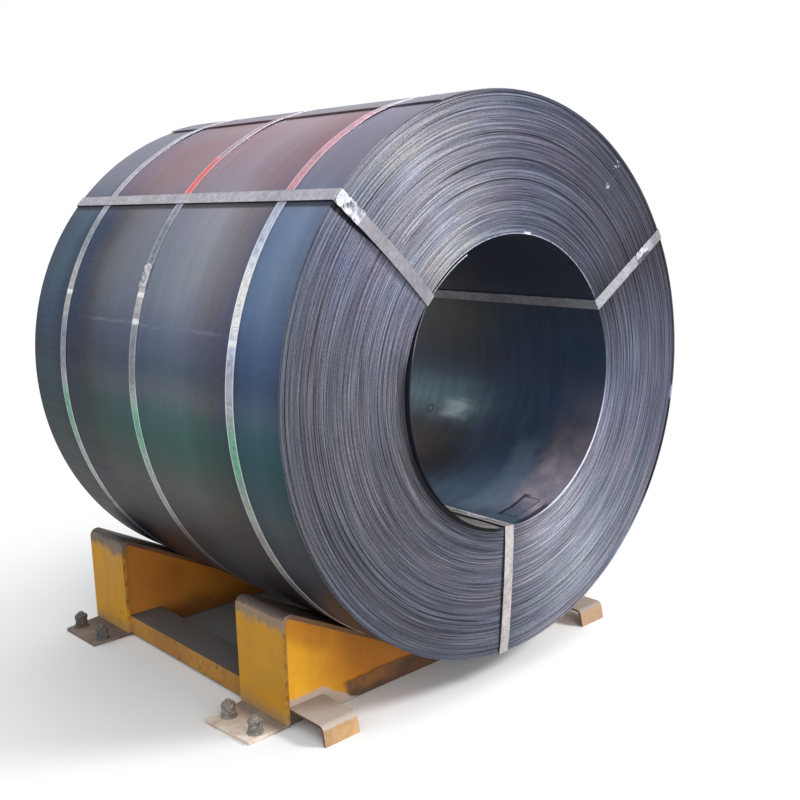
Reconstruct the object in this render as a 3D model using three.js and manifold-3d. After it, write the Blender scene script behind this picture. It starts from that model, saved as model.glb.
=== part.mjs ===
import * as THREE from "three";
import Module from "manifold-3d";

// Hot rolled steel coil, strapped, lying in a welded saddle cradle.
// Millimetres, +Z up. The coil's axis runs along Y and its near end faces -Y.
// Angles round the coil are seen from the near end: 0 is +X and 90 is straight up.

const wasm = await Module();
wasm.setup();

// ---- driving sizes: the coil ----------------------------------------------
const COIL_RADIUS = 726.5;
const COIL_WIDTH = 1219;
const BORE_RADIUS = 381;
const STRIP_THICKNESS = 3;
const TAIL_ANGLE = 110;
const TAIL_LEAD_ANGLE = 15;
const TURN_RINGS = 13;
const TURN_RELIEF = 4;
const SIDES = 72;
const LOOSE_START_ANGLE = 117;
const LOOSE_END_ANGLE = 256;
const LOOSE_LAP_BULGE = 19;
const LOOSE_END_LIFT = 8;
const FLOOR_CLEARANCE = 86.5;

// ---- driving sizes: straps -------------------------------------------------
const STRAP_WIDTH = 32;
const STRAP_THICKNESS = 1;
const STRAP_CORNER = 0.8;
const SEAL_THICKNESS = 1.2;
const SEAL_OVERHANG = 1.5;
const BAND_SEAL_LENGTH = 62;
const GAP = 0.3;
const BAND_SEAT = 0.5;
const NEAR_BAND_INSET = 185.5;
const MIDDLE_BAND_Y = 21;
const FAR_BAND_INSET = 190.5;

// Straps through the eye: the angle at the rim, how far the strap leans off the radius and
// bows out from the near end face, and the seal's length, its middle's distance in from the
// rim, and the end face it is on.
const EYE_STRAPS = [
  { angle: 139.6, lean: -2.2, bow: 11, sealLength: 76, sealInset: 40.5, sealFace: -1 },
  { angle: 30.5, lean: 2.4, bow: 0, sealLength: 58, sealInset: 105.5, sealFace: -1 },
  { angle: -94.2, lean: 0, bow: 4, sealLength: 76, sealInset: 166.5, sealFace: 1 },
];

// ---- driving sizes: the cradle -----------------------------------------------
const SADDLE_ANGLE = 28;
const PLATE = 12;
const BEND_RADIUS = 22;
const FRAME_DEPTH = 205;
const NEAR_FRAME_Y = -396;
const FAR_FRAME_Y = 424;
const LEFT_POST_X = -605;
const RIGHT_POST_X = 492;
const WEB_THICKNESS = 10;
const WEB_RECESS = 8;
const WEB_FOOT = 2;
const BASE_THICKNESS = 10;
const PLATE_EDGE = 3;
const BEAM_WIDTH = 100;
const BEAM_FOOT = 7;
const BEAM_HEIGHT = 55;
const BEAM_WALL = 8;
const CLIP_WIDTH = 103;
const CLIP_REACH = 149;
const CLIP_HEIGHT = 50;
const CLIP_THICKNESS = 7;
const CLIP_BEND = 16;
const CLIP_SPREAD = 12;

// Anchor plates outside the posts: how far each reaches out at its front and back edge,
// where it starts along its frame, how much its back edge slants, and where its bolts stand.
const BOLT_OUT = 69;
const ANCHOR_PLATES = {
  near_left: { front: 107, back: 121, start: PLATE_EDGE, slant: 27, bolts: [30, 150] },
  near_right: { front: 107, back: 107, start: 75, slant: 0, bolts: [104, 174] },
  far_left: { front: 105, back: 109, start: PLATE_EDGE, slant: 25, bolts: [21, 162] },
  far_right: { front: 105, back: 105, start: PLATE_EDGE, slant: 0, bolts: [30, 162] },
};
const STUD_RADIUS = 10;
const STUD_LENGTH = 44;
const NUT_FLATS = 32;
const NUT_HEIGHT = 18;
const LOCK_NUT_HEIGHT = 14;
const LOCK_NUT_TURN = 24;
const WASHER_RADIUS = 21;
const WASHER_HEIGHT = 4;

// ---- worked out from them ----------------------------------------------------
const HALF_WIDTH = COIL_WIDTH / 2;
const LAP_SPAN = 360 - TAIL_LEAD_ANGLE;
const LOOSE_LAP_SPAN = LOOSE_END_ANGLE - LOOSE_START_ANGLE;
const AXIS_HEIGHT = COIL_RADIUS + FLOOR_CLEARANCE;
const SEAL_FACE = HALF_WIDTH + GAP + STRAP_THICKNESS + GAP;
const BAND_STRAPS = [
  { y: -HALF_WIDTH + NEAR_BAND_INSET, sealAngle: 60 },
  { y: MIDDLE_BAND_Y, sealAngle: 157 },
  { y: HALF_WIDTH - FAR_BAND_INSET, sealAngle: 62 },
];

// ---- materials -----------------------------------------------------------------
const COIL_STEEL = { color: 0x5c6370, metalness: 0.75, roughness: 0.5 };
const STRAP_STEEL = { color: 0x9a9a9c, metalness: 0.8, roughness: 0.4 };
const SEAL_STEEL = { color: 0xb4b4b6, metalness: 0.8, roughness: 0.35 };
const YELLOW_PAINT = { color: 0xc98a1e, metalness: 0.0, roughness: 0.6 };
const DUSTY_PLATE = { color: 0x9b8d80, metalness: 0.1, roughness: 0.85 };
const BOLT_STEEL = { color: 0x57534f, metalness: 0.6, roughness: 0.6 };

// ---- helpers ---------------------------------------------------------------------
const rad = THREE.MathUtils.degToRad;

function addMesh(parent, name, geometry, look) {
  const mesh = new THREE.Mesh(geometry, new THREE.MeshStandardMaterial(look));
  mesh.name = name;
  parent.add(mesh);
  return mesh;
}

function addGroup(parent) {
  const group = new THREE.Group();
  parent.add(group);
  return group;
}

// A profile drawn in X and Z, as a solid between two stations along Y.
function addPrism(parent, name, shape, yStart, yEnd, look) {
  const options = { depth: yEnd - yStart, bevelEnabled: false, curveSegments: 6 };
  const mesh = addMesh(parent, name, new THREE.ExtrudeGeometry(shape, options), look);
  mesh.rotation.x = Math.PI / 2;
  mesh.position.y = yEnd;
  return mesh;
}

function polar(radius, degrees) {
  return new THREE.Vector2(radius * Math.cos(rad(degrees)), radius * Math.sin(rad(degrees)));
}

function toSolid(geometry) {
  const plain = geometry.index ? geometry.toNonIndexed() : geometry;
  const position = plain.getAttribute("position");
  const mesh = new wasm.Mesh({
    numProp: 3,
    vertProperties: new Float32Array(position.array),
    triVerts: Uint32Array.from({ length: position.count }, (_, i) => i),
  });
  mesh.merge();
  return new wasm.Manifold(mesh);
}

function toGeometry(solid) {
  const mesh = solid.getMesh();
  const joined = new THREE.BufferGeometry();
  joined.setAttribute("position", new THREE.BufferAttribute(mesh.vertProperties, 3));
  joined.setIndex(new THREE.BufferAttribute(mesh.triVerts, 1));
  const flat = joined.toNonIndexed();
  flat.computeVertexNormals();
  return flat;
}

// A smooth step from 0 to 1 as t runs from 0 to 1.
function ease(t) {
  const s = Math.min(1, Math.max(0, t));
  return s * s * (3 - 2 * s);
}

// A number from 0 to 1 that looks random and is the same every time.
function scatter(index, seed) {
  const wave = Math.sin(index * 12.9898 + seed * 78.233) * 43758.5453;
  return wave - Math.floor(wave);
}

// ---- the coil's turns --------------------------------------------------------------
// The edge between two bands of turns on an end face.
function ringEdge(index, seed) {
  const jitter = index === 0 || index === TURN_RINGS ? 0 : 0.5 * scatter(index, seed + 2) - 0.25;
  return BORE_RADIUS + ((COIL_RADIUS - BORE_RADIUS) * (index + jitter)) / TURN_RINGS;
}

// How far a band of turns lies back from the end face: every other band stands proud.
function ringDepth(index, seed) {
  const share = scatter(index, seed);
  return TURN_RELIEF * (index % 2 === 0 ? 0.3 * share : 0.6 + 0.4 * share);
}

// Half section of the wound steel, with crisp steps on both ends, bore to rim and back.
function coilProfile() {
  const points = [];
  for (let ring = 0; ring < TURN_RINGS; ring += 1) {
    const y = -HALF_WIDTH + ringDepth(ring, 1);
    points.push(new THREE.Vector2(ringEdge(ring, 1), y));
    points.push(new THREE.Vector2(ringEdge(ring + 1, 1), y));
  }
  for (let ring = TURN_RINGS - 1; ring >= 0; ring -= 1) {
    const y = HALF_WIDTH - ringDepth(ring, 2);
    points.push(new THREE.Vector2(ringEdge(ring + 1, 2), y));
    points.push(new THREE.Vector2(ringEdge(ring, 2), y));
  }
  points.push(points[0].clone());
  return points;
}

// Height of the outermost lap over the coil's radius: the strip's thickness at its tail,
// and nothing once it has gone round and under itself.
function lapRise(degrees) {
  const past = (((TAIL_ANGLE - degrees) % 360) + 360) % 360;
  return STRIP_THICKNESS * (1 - past / LAP_SPAN);
}

function outerLapShape() {
  const steps = Math.round((SIDES * LAP_SPAN) / 360);
  const outer = [];
  const inner = [];
  for (let i = 0; i <= steps; i += 1) {
    const angle = TAIL_ANGLE - (LAP_SPAN * i) / steps;
    outer.push(polar(COIL_RADIUS + STRIP_THICKNESS * (1 - (1.2 * i) / steps), angle));
    inner.push(polar(COIL_RADIUS - STRIP_THICKNESS, angle));
  }
  return new THREE.Shape(outer.concat(inner.reverse()));
}

// How far the loose inner lap stands off the bore: free at its cut end, pressed back where
// a strap crosses it, bulging below the middle, and flush where it joins the next turn.
function looseLift(degrees) {
  const share = (degrees - LOOSE_START_ANGLE) / LOOSE_LAP_SPAN;
  const bulge = ease((share - 0.2) / 0.2) * (1 - ease((share - 0.5) / 0.3));
  const pressed = 1 - ease(Math.abs(degrees - boreAngle(EYE_STRAPS[0])) / 10);
  const joined = ease((share - 0.7) / 0.3);
  const free = LOOSE_END_LIFT + (LOOSE_LAP_BULGE - LOOSE_END_LIFT) * bulge;
  return free - STRIP_THICKNESS * pressed - (LOOSE_END_LIFT + 0.4 * STRIP_THICKNESS) * joined;
}

function looseLapShape() {
  const steps = 36;
  const inner = [];
  const outer = [];
  for (let i = 0; i <= steps; i += 1) {
    const angle = LOOSE_START_ANGLE + (LOOSE_LAP_SPAN * i) / steps;
    const radius = BORE_RADIUS - looseLift(angle);
    inner.push(polar(radius, angle));
    outer.push(polar(radius + STRIP_THICKNESS, angle));
  }
  return new THREE.Shape(inner.concat(outer.reverse()));
}

// A lap as a solid along the axis, a little back from both end faces.
function lapSolid(shape, setback) {
  const depth = COIL_WIDTH - 2 * setback;
  const geometry = new THREE.ExtrudeGeometry(shape, { depth: depth, bevelEnabled: false });
  geometry.rotateX(Math.PI / 2);
  geometry.translate(0, depth / 2, 0);
  return toSolid(geometry);
}

function addCoil(parent) {
  const wound = toSolid(new THREE.LatheGeometry(coilProfile(), SIDES));
  const whole = wound.add(lapSolid(outerLapShape(), 1.2)).add(lapSolid(looseLapShape(), 1.6));
  addMesh(parent, "steel_coil", toGeometry(whole), COIL_STEEL);
}

// ---- straps round the barrel ---------------------------------------------------------
// Radius of the steel under a strap. Before the tail the strap bridges the step up to it.
function barrelRadius(degrees) {
  const past = (((TAIL_ANGLE - degrees) % 360) + 360) % 360;
  const bridge = STRIP_THICKNESS * ease((past - LAP_SPAN - 3) / 8);
  return COIL_RADIUS + Math.max(0.15, lapRise(degrees), bridge);
}

function barrelRing(lift) {
  const points = [];
  for (let i = 0; i < SIDES; i += 1) {
    const angle = 90 + (360 * i) / SIDES;
    points.push(polar(barrelRadius(angle) + lift, angle));
  }
  return points;
}

function addBandStrap(parent, index, strap) {
  const group = addGroup(parent);
  group.position.y = strap.y;
  const outside = BAND_SEAT + STRAP_THICKNESS;
  const ring = new THREE.Shape(barrelRing(outside));
  ring.holes.push(new THREE.Path(barrelRing(BAND_SEAT)));
  addPrism(group, "band_strap_" + index, ring, -STRAP_WIDTH / 2, STRAP_WIDTH / 2, STRAP_STEEL);

  const seat = outside + 2 * GAP;
  const turn = THREE.MathUtils.radToDeg(BAND_SEAL_LENGTH / COIL_RADIUS);
  const low = [];
  const high = [];
  for (let i = 0; i <= 6; i += 1) {
    const angle = strap.sealAngle + turn * (i / 6 - 0.5);
    low.push(polar(barrelRadius(angle) + seat, angle));
    high.push(polar(barrelRadius(angle) + seat + SEAL_THICKNESS, angle));
  }
  const seal = new THREE.Shape(low.concat(high.reverse()));
  const half = STRAP_WIDTH / 2 + SEAL_OVERHANG;
  addPrism(group, "band_strap_seal_" + index, seal, -half, half, SEAL_STEEL);
}

// ---- straps through the eye -------------------------------------------------------------
// The angle at which a leaning strap meets the bore.
function boreAngle(strap) {
  return strap.angle - (strap.lean * (COIL_RADIUS - BORE_RADIUS)) / BORE_RADIUS;
}

// How far a flat strap's edge dips towards round steel when its face is turned off the tangent.
function edgeDip(degrees) {
  return (STRAP_WIDTH / 2) * Math.sin(rad(Math.abs(degrees)));
}

// On the barrel side the strap lies over the straps that go round.
function outerReach(strap) {
  return barrelRadius(strap.angle) + BAND_SEAT + STRAP_THICKNESS + GAP + edgeDip(strap.lean);
}

// Clear of the loose lap or the bore's flats, with room for the dip at its edges and for the
// way that leaning carries its inner corner outwards.
function innerReach(strap) {
  const middle = boreAngle(strap);
  const halfTurn = THREE.MathUtils.radToDeg(STRAP_WIDTH / 2 / BORE_RADIUS);
  const crossed = middle > LOOSE_START_ANGLE && middle < LOOSE_END_ANGLE;
  const lift = crossed ? Math.max(looseLift(middle - halfTurn), looseLift(middle + halfTurn)) : 0;
  const steel = BORE_RADIUS * Math.cos(Math.PI / SIDES) - lift;
  const sagitta = (STRAP_WIDTH * STRAP_WIDTH) / (8 * BORE_RADIUS);
  const tilt = edgeDip((strap.lean * COIL_RADIUS) / BORE_RADIUS);
  const carried = (COIL_RADIUS - BORE_RADIUS) * (1 - Math.cos(rad(strap.lean)));
  return steel - sagitta - tilt - (carried * COIL_RADIUS) / BORE_RADIUS - GAP;
}

// How far a strap stands off its flat line on the near end face, x in from its rim corner.
function bowAt(strap, x) {
  const length = outerReach(strap) - innerReach(strap) - 2 * STRAP_CORNER;
  const share = Math.min(1, Math.max(0, (-x - STRAP_CORNER) / length));
  return 4 * strap.bow * share * (1 - share);
}

function roundedLoop(path, x0, x1, halfLength, radius, bow) {
  const y0 = -halfLength;
  const y1 = halfLength;
  path.moveTo(x0 + radius, y0);
  path.quadraticCurveTo((x0 + x1) / 2, y0 - 2 * bow, x1 - radius, y0);
  path.absarc(x1 - radius, y0 + radius, radius, -Math.PI / 2, 0, false);
  path.lineTo(x1, y1 - radius);
  path.absarc(x1 - radius, y1 - radius, radius, 0, Math.PI / 2, false);
  path.lineTo(x0 + radius, y1);
  path.absarc(x0 + radius, y1 - radius, radius, Math.PI / 2, Math.PI, false);
  path.lineTo(x0, y0 + radius);
  path.absarc(x0 + radius, y0 + radius, radius, Math.PI, 1.5 * Math.PI, false);
  return path;
}

// A closed loop round the wall of the coil, drawn from its corner at the rim.
function addEyeStrap(parent, index, strap) {
  const turned = addGroup(parent);
  turned.rotation.y = -rad(strap.angle);
  const leaning = addGroup(turned);
  leaning.position.x = outerReach(strap);
  leaning.rotation.y = -rad(strap.lean);

  const wall = outerReach(strap) - innerReach(strap);
  const t = STRAP_THICKNESS;
  const half = HALF_WIDTH + GAP;
  const loop = roundedLoop(new THREE.Shape(), -wall - t, t, half + t, STRAP_CORNER + t, strap.bow);
  loop.holes.push(roundedLoop(new THREE.Path(), -wall, 0, half, STRAP_CORNER, strap.bow));
  const options = { depth: STRAP_WIDTH, bevelEnabled: false, curveSegments: strap.bow > 0 ? 8 : 3 };
  const band = addMesh(leaning, "eye_strap_" + index, new THREE.ExtrudeGeometry(loop, options), STRAP_STEEL);
  band.position.z = -STRAP_WIDTH / 2;

  const width = STRAP_WIDTH + 2 * SEAL_OVERHANG;
  const plate = new THREE.ExtrudeGeometry(eyeSealShape(strap), { depth: width, bevelEnabled: false });
  addMesh(leaning, "eye_strap_seal_" + index, plate, SEAL_STEEL).position.z = -width / 2;
}

// A seal's section along its strap. On the near end face it follows the strap's bow.
function eyeSealShape(strap) {
  const low = [];
  const high = [];
  for (let i = 0; i <= 6; i += 1) {
    const x = strap.sealLength * (i / 6 - 0.5) - strap.sealInset;
    const y = SEAL_FACE + (strap.sealFace < 0 ? bowAt(strap, x) : 0);
    low.push(new THREE.Vector2(x, strap.sealFace * y));
    high.push(new THREE.Vector2(x, strap.sealFace * (y + SEAL_THICKNESS)));
  }
  return new THREE.Shape(low.concat(high.reverse()));
}

// How far a strap or its seal reaches in front of the middle of the coil's width.
function nearReach(strap) {
  const band = HALF_WIDTH + GAP + STRAP_THICKNESS + strap.bow;
  const sealEnd = bowAt(strap, -strap.sealInset - strap.sealLength / 2);
  return Math.max(band, strap.sealFace < 0 ? SEAL_FACE + SEAL_THICKNESS + sealEnd : 0);
}

// ---- cradle: saddle line -------------------------------------------------------------------
// The saddle plates touch the band strap that passes under the coil, so they lie a strap
// and its clearances off the steel at both contact lines.
const LEFT_CONTACT = barrelRadius(-90 - SADDLE_ANGLE);
const RIGHT_CONTACT = barrelRadius(-90 + SADDLE_ANGLE);
const SADDLE_OFFSET = Math.max(LEFT_CONTACT, RIGHT_CONTACT) + BAND_SEAT + STRAP_THICKNESS + GAP;

// Height over the floor of a line parallel to the saddle, at an offset from the coil's axis.
function saddleHeight(offset, x) {
  const along = Math.sin(rad(SADDLE_ANGLE)) * Math.abs(x);
  return AXIS_HEIGHT - (offset - along) / Math.cos(rad(SADDLE_ANGLE));
}

// Where the saddle plates' undersides come down to the bottom plate, either side of the middle.
const SADDLE_FOOT_X =
  (SADDLE_OFFSET + PLATE - (AXIS_HEIGHT - BASE_THICKNESS - GAP) * Math.cos(rad(SADDLE_ANGLE))) /
  Math.sin(rad(SADDLE_ANGLE));

// The rounded corner between a vertical face at x and a line parallel to the saddle.
function bendPoints(x, offset, radius) {
  const steps = 8;
  const side = Math.sign(x);
  const turn = rad(90 + SADDLE_ANGLE);
  const centreX = x - side * radius;
  const centreZ = saddleHeight(offset, x) - radius * Math.tan(turn / 2);
  const points = [];
  for (let i = 0; i <= steps; i += 1) {
    const a = (turn * i) / steps;
    points.push(new THREE.Vector2(centreX + side * radius * Math.cos(a), centreZ + radius * Math.sin(a)));
  }
  return points;
}

// ---- cradle: pieces of a frame ----------------------------------------------------------------
// One plate folded over: a post that stands on its anchor plate, and the slope under the coil.
function addSaddlePlate(parent, name, postX) {
  const side = Math.sign(postX);
  const footZ = BASE_THICKNESS + GAP;
  const footX = side * SADDLE_FOOT_X;
  const under = bendPoints(postX - side * PLATE, SADDLE_OFFSET + PLATE, BEND_RADIUS - PLATE);
  const outline = [new THREE.Vector2(postX, footZ)];
  outline.push(...bendPoints(postX, SADDLE_OFFSET, BEND_RADIUS));
  outline.push(new THREE.Vector2(footX, saddleHeight(SADDLE_OFFSET, footX)));
  outline.push(new THREE.Vector2(footX, saddleHeight(SADDLE_OFFSET + PLATE, footX)));
  outline.push(...under.reverse());
  outline.push(new THREE.Vector2(postX - side * PLATE, footZ));
  addPrism(parent, name, new THREE.Shape(outline), 0, FRAME_DEPTH, YELLOW_PAINT);
}

// An upright plate that fills the corner under a saddle plate.
function addWeb(parent, name, postX, yStart) {
  const side = Math.sign(postX);
  const clear = PLATE + GAP;
  const endX = side * (SADDLE_FOOT_X + PLATE);
  const outline = [new THREE.Vector2(postX - side * clear, WEB_FOOT)];
  outline.push(...bendPoints(postX - side * clear, SADDLE_OFFSET + clear, BEND_RADIUS - clear));
  outline.push(new THREE.Vector2(endX, saddleHeight(SADDLE_OFFSET + clear, endX)));
  outline.push(new THREE.Vector2(endX, WEB_FOOT));
  addPrism(parent, name, new THREE.Shape(outline), yStart, yStart + WEB_THICKNESS, YELLOW_PAINT);
}

// The plate on the floor that ties both halves of a frame, between its webs.
function addBottomPlate(parent, name) {
  const edge = WEB_RECESS + WEB_THICKNESS + GAP;
  const left = LEFT_POST_X + PLATE + GAP;
  const right = RIGHT_POST_X - PLATE - GAP;
  const size = new THREE.BoxGeometry(right - left, FRAME_DEPTH - 2 * edge, BASE_THICKNESS);
  const plate = addMesh(parent, name, size, YELLOW_PAINT);
  plate.position.set((left + right) / 2, FRAME_DEPTH / 2, BASE_THICKNESS / 2);
}

// A floor plate that starts under the post and carries two anchor bolts outside it.
function addAnchorPlate(parent, name, postX, plate) {
  const side = Math.sign(postX);
  const inside = -side * PLATE;
  const backY = FRAME_DEPTH - PLATE_EDGE;
  const outline = new THREE.Shape();
  outline.moveTo(inside, plate.start);
  outline.lineTo(side * plate.front, plate.start);
  outline.lineTo(side * plate.back, backY - plate.slant);
  outline.lineTo(inside, backY);
  outline.closePath();
  const slab = new THREE.ExtrudeGeometry(outline, { depth: BASE_THICKNESS, bevelEnabled: false });
  addMesh(parent, name, slab, DUSTY_PLATE).position.x = postX;
}

function cylinder(radius, height, sides) {
  return new THREE.CylinderGeometry(radius, radius, height, sides);
}

function addAnchorBolt(parent, name, x, y) {
  const bolt = addGroup(parent);
  bolt.position.set(x, y, BASE_THICKNESS + GAP);
  bolt.rotation.x = Math.PI / 2;
  const stud = addMesh(bolt, name + "_stud", cylinder(STUD_RADIUS, STUD_LENGTH, 16), BOLT_STEEL);
  stud.position.y = STUD_LENGTH / 2;

  const washer = cylinder(WASHER_RADIUS, WASHER_HEIGHT, 18);
  washer.translate(0, WASHER_HEIGHT / 2, 0);
  const hex = cylinder(NUT_FLATS / Math.sqrt(3), NUT_HEIGHT, 6);
  hex.translate(0, WASHER_HEIGHT + NUT_HEIGHT / 2, 0);
  const hole = cylinder(STUD_RADIUS + GAP, 4 * STUD_LENGTH, 16);
  const lock = cylinder(NUT_FLATS / Math.sqrt(3), LOCK_NUT_HEIGHT, 6);
  lock.rotateY(rad(LOCK_NUT_TURN));
  lock.translate(0, WASHER_HEIGHT + NUT_HEIGHT + LOCK_NUT_HEIGHT / 2, 0);
  const stack = toSolid(hex).add(toSolid(washer)).add(toSolid(lock));
  addMesh(bolt, name + "_nut", toGeometry(stack.subtract(toSolid(hole))), BOLT_STEEL);
}

function addFrame(parent, prefix, frameY) {
  const frame = addGroup(parent);
  frame.position.y = frameY;
  const sides = { left: LEFT_POST_X, right: RIGHT_POST_X };
  for (const [sideName, postX] of Object.entries(sides)) {
    const plate = ANCHOR_PLATES[prefix + "_" + sideName];
    addSaddlePlate(frame, prefix + "_saddle_plate_" + sideName, postX);
    addWeb(frame, prefix + "_front_web_" + sideName, postX, WEB_RECESS);
    addWeb(frame, prefix + "_rear_web_" + sideName, postX, FRAME_DEPTH - WEB_RECESS - WEB_THICKNESS);
    addAnchorPlate(frame, prefix + "_anchor_plate_" + sideName, postX, plate);
    const boltX = postX + Math.sign(postX) * BOLT_OUT;
    addAnchorBolt(frame, prefix + "_bolt_" + sideName + "_a", boltX, plate.bolts[0]);
    addAnchorBolt(frame, prefix + "_bolt_" + sideName + "_b", boltX, plate.bolts[1]);
  }
  addBottomPlate(frame, prefix + "_bottom_plate");
}

// ---- cradle: what joins the frames ---------------------------------------------------------------
// A channel with its open side down, from one frame's web to the other's.
function addTieBeam(parent, name, postX) {
  const side = Math.sign(postX);
  const a = postX - side * (PLATE + GAP);
  const b = a - side * BEAM_WIDTH;
  const top = BEAM_FOOT + BEAM_HEIGHT;
  const outline = [
    new THREE.Vector2(a, BEAM_FOOT),
    new THREE.Vector2(a, top),
    new THREE.Vector2(b, top),
    new THREE.Vector2(b, BEAM_FOOT),
    new THREE.Vector2(b + side * BEAM_WALL, BEAM_FOOT),
    new THREE.Vector2(b + side * BEAM_WALL, top - BEAM_WALL),
    new THREE.Vector2(a - side * BEAM_WALL, top - BEAM_WALL),
    new THREE.Vector2(a - side * BEAM_WALL, BEAM_FOOT),
  ];
  const start = NEAR_FRAME_Y + FRAME_DEPTH - WEB_RECESS + GAP;
  const end = FAR_FRAME_Y + WEB_RECESS - GAP;
  addPrism(parent, name, new THREE.Shape(outline), start, end, YELLOW_PAINT);
}

// A bent plate that stands off the near web and turns down to the floor, its foot spread outwards.
function addClip(parent, name, postX) {
  const t = CLIP_THICKNESS;
  const spread = rad(CLIP_SPREAD);
  const bendY = CLIP_HEIGHT - CLIP_BEND;
  const bendX = (CLIP_BEND + bendY * Math.sin(spread)) / Math.cos(spread) - CLIP_REACH;
  const fold = new THREE.Shape();
  fold.moveTo(0, CLIP_HEIGHT);
  fold.lineTo(bendX, CLIP_HEIGHT);
  fold.absarc(bendX, bendY, CLIP_BEND, Math.PI / 2, Math.PI - spread, false);
  fold.lineTo(-CLIP_REACH, 0);
  fold.lineTo(-CLIP_REACH + t / Math.cos(spread), 0);
  fold.absarc(bendX, bendY, CLIP_BEND - t, Math.PI - spread, Math.PI / 2, true);
  fold.lineTo(0, CLIP_HEIGHT - t);
  fold.closePath();
  const inside = postX - Math.sign(postX) * (PLATE + 2 * GAP);
  const start = postX < 0 ? inside : inside - CLIP_WIDTH;
  const options = { depth: CLIP_WIDTH, bevelEnabled: false, curveSegments: 6 };
  const clip = addMesh(parent, name, new THREE.ExtrudeGeometry(fold, options), DUSTY_PLATE);
  clip.rotation.set(Math.PI / 2, 0, Math.PI / 2, "ZYX");
  clip.position.set(start, NEAR_FRAME_Y + WEB_RECESS - GAP, 0);
}

// ---- assembly -----------------------------------------------------------------------------------------
const root = new THREE.Group();
root.name = "steel_coil_on_cradle";
// The origin is on the floor, under the middle of the whole thing.
const frontReach = Math.max(...EYE_STRAPS.map(nearReach));
const backReach = Math.max(SEAL_FACE + SEAL_THICKNESS, FAR_FRAME_Y + FRAME_DEPTH);
root.position.y = (frontReach - backReach) / 2;

const load = addGroup(root);
load.position.z = AXIS_HEIGHT;
addCoil(load);
BAND_STRAPS.forEach((strap, i) => addBandStrap(load, i + 1, strap));
EYE_STRAPS.forEach((strap, i) => addEyeStrap(load, i + 1, strap));

const cradle = addGroup(root);
addFrame(cradle, "near", NEAR_FRAME_Y);
addFrame(cradle, "far", FAR_FRAME_Y);
addTieBeam(cradle, "tie_beam_left", LEFT_POST_X);
addTieBeam(cradle, "tie_beam_right", RIGHT_POST_X);
addClip(cradle, "near_clip_left", LEFT_POST_X);
addClip(cradle, "near_clip_right", RIGHT_POST_X);

export default root;
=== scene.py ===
"""A strapped coil of hot rolled steel in a welded saddle cradle, dressed over its CAD frame."""

import math
import random

import bpy
from mathutils import Matrix, Vector, noise


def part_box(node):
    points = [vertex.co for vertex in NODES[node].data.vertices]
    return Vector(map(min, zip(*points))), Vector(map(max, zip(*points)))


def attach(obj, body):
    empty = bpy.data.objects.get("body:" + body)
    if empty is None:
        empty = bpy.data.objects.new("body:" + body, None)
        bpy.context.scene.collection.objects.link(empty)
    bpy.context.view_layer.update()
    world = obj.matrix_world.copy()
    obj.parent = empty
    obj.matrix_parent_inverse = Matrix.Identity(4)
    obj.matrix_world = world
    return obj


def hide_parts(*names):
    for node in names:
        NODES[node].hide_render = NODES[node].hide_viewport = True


bl_info = {
    "name": "Strapped Steel Coil",
    "version": (1, 0, 0),
    "blender": (4, 5, 0),
    "location": "View3D > Sidebar > Steel Coil",
    "description": "Builds the turns, straps, bolts and finishes of a steel coil on its cradle",
    "category": "Add Mesh",
}

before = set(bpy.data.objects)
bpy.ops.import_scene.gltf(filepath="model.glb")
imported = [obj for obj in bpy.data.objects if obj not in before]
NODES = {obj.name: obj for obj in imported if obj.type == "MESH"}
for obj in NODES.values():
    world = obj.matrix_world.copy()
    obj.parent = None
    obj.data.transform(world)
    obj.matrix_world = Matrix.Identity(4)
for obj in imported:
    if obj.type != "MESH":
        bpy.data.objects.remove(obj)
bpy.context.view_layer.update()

# ---- places taken from the frame; metres, angles round the coil in degrees ------------
# Angles are seen from the near end: 0 is +X and 90 is straight up.
COIL_LOW, COIL_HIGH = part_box("steel_coil")
COIL_Y = (COIL_LOW.y + COIL_HIGH.y) / 2
COIL_RADIUS = -COIL_LOW.x
AXIS_Z = COIL_LOW.z + COIL_RADIUS
HALF_WIDTH = 0.6095
STRIP = 0.003
TAIL_ANGLE = 110
LAP_SPAN = 345
LOOSE_START = 117
LOOSE_END = 256
BORE_RADIUS = 0.381
BAND_BOXES = [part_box(f"band_strap_{index}") for index in (1, 2, 3)]
BAND_PLACES = [(low.y + high.y) / 2 - COIL_Y for low, high in BAND_BOXES]
# How far the cradle's middle lies left of the coil's axis, and how steep its saddles are.
CRADLE_LEFT = 0.056
SADDLE_SLOPE = 0.5317
MM = 0.001
BORE_ROUND = 2 * math.pi * BORE_RADIUS
# Corners closer than this become one.
MERGE = 0.02 * MM


def round_point(radius, degrees, y):
    """A point round the coil's axis, y from the middle of its width."""
    turn = math.radians(degrees)
    return Vector((radius * math.cos(turn), COIL_Y + y, AXIS_Z + radius * math.sin(turn)))


def ease(t):
    """A smooth step from 0 to 1."""
    s = min(1.0, max(0.0, t))
    return s * s * (3 - 2 * s)


def barrel_radius(degrees):
    """Outside of the steel as a strap meets it: it bridges the step up to the tail."""
    past = (TAIL_ANGLE - degrees) % 360
    bridge = STRIP * ease((past - LAP_SPAN - 3) / 8)
    return COIL_RADIUS + max(0.15 * MM, STRIP * (1 - past / LAP_SPAN), bridge)


# ======================================================================================
# Finishes
# ======================================================================================
def tint(red, green, blue):
    """A colour written as it looks, 0 to 255, in the shader's linear values."""

    def linear(level):
        share = level / 255
        return share / 12.92 if share <= 0.04045 else ((share + 0.055) / 1.055) ** 2.4

    return (linear(red), linear(green), linear(blue), 1.0)


def cool(level):
    return (level * 0.96, level * 0.96, level * 1.1)


def warm(level):
    return (level * 1.04, level * 1.01, level * 0.95)


def turn_of(degrees):
    """The turn of about_axis for an angle round the coil from 0 to 360."""
    return 1 - degrees / 360


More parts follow.
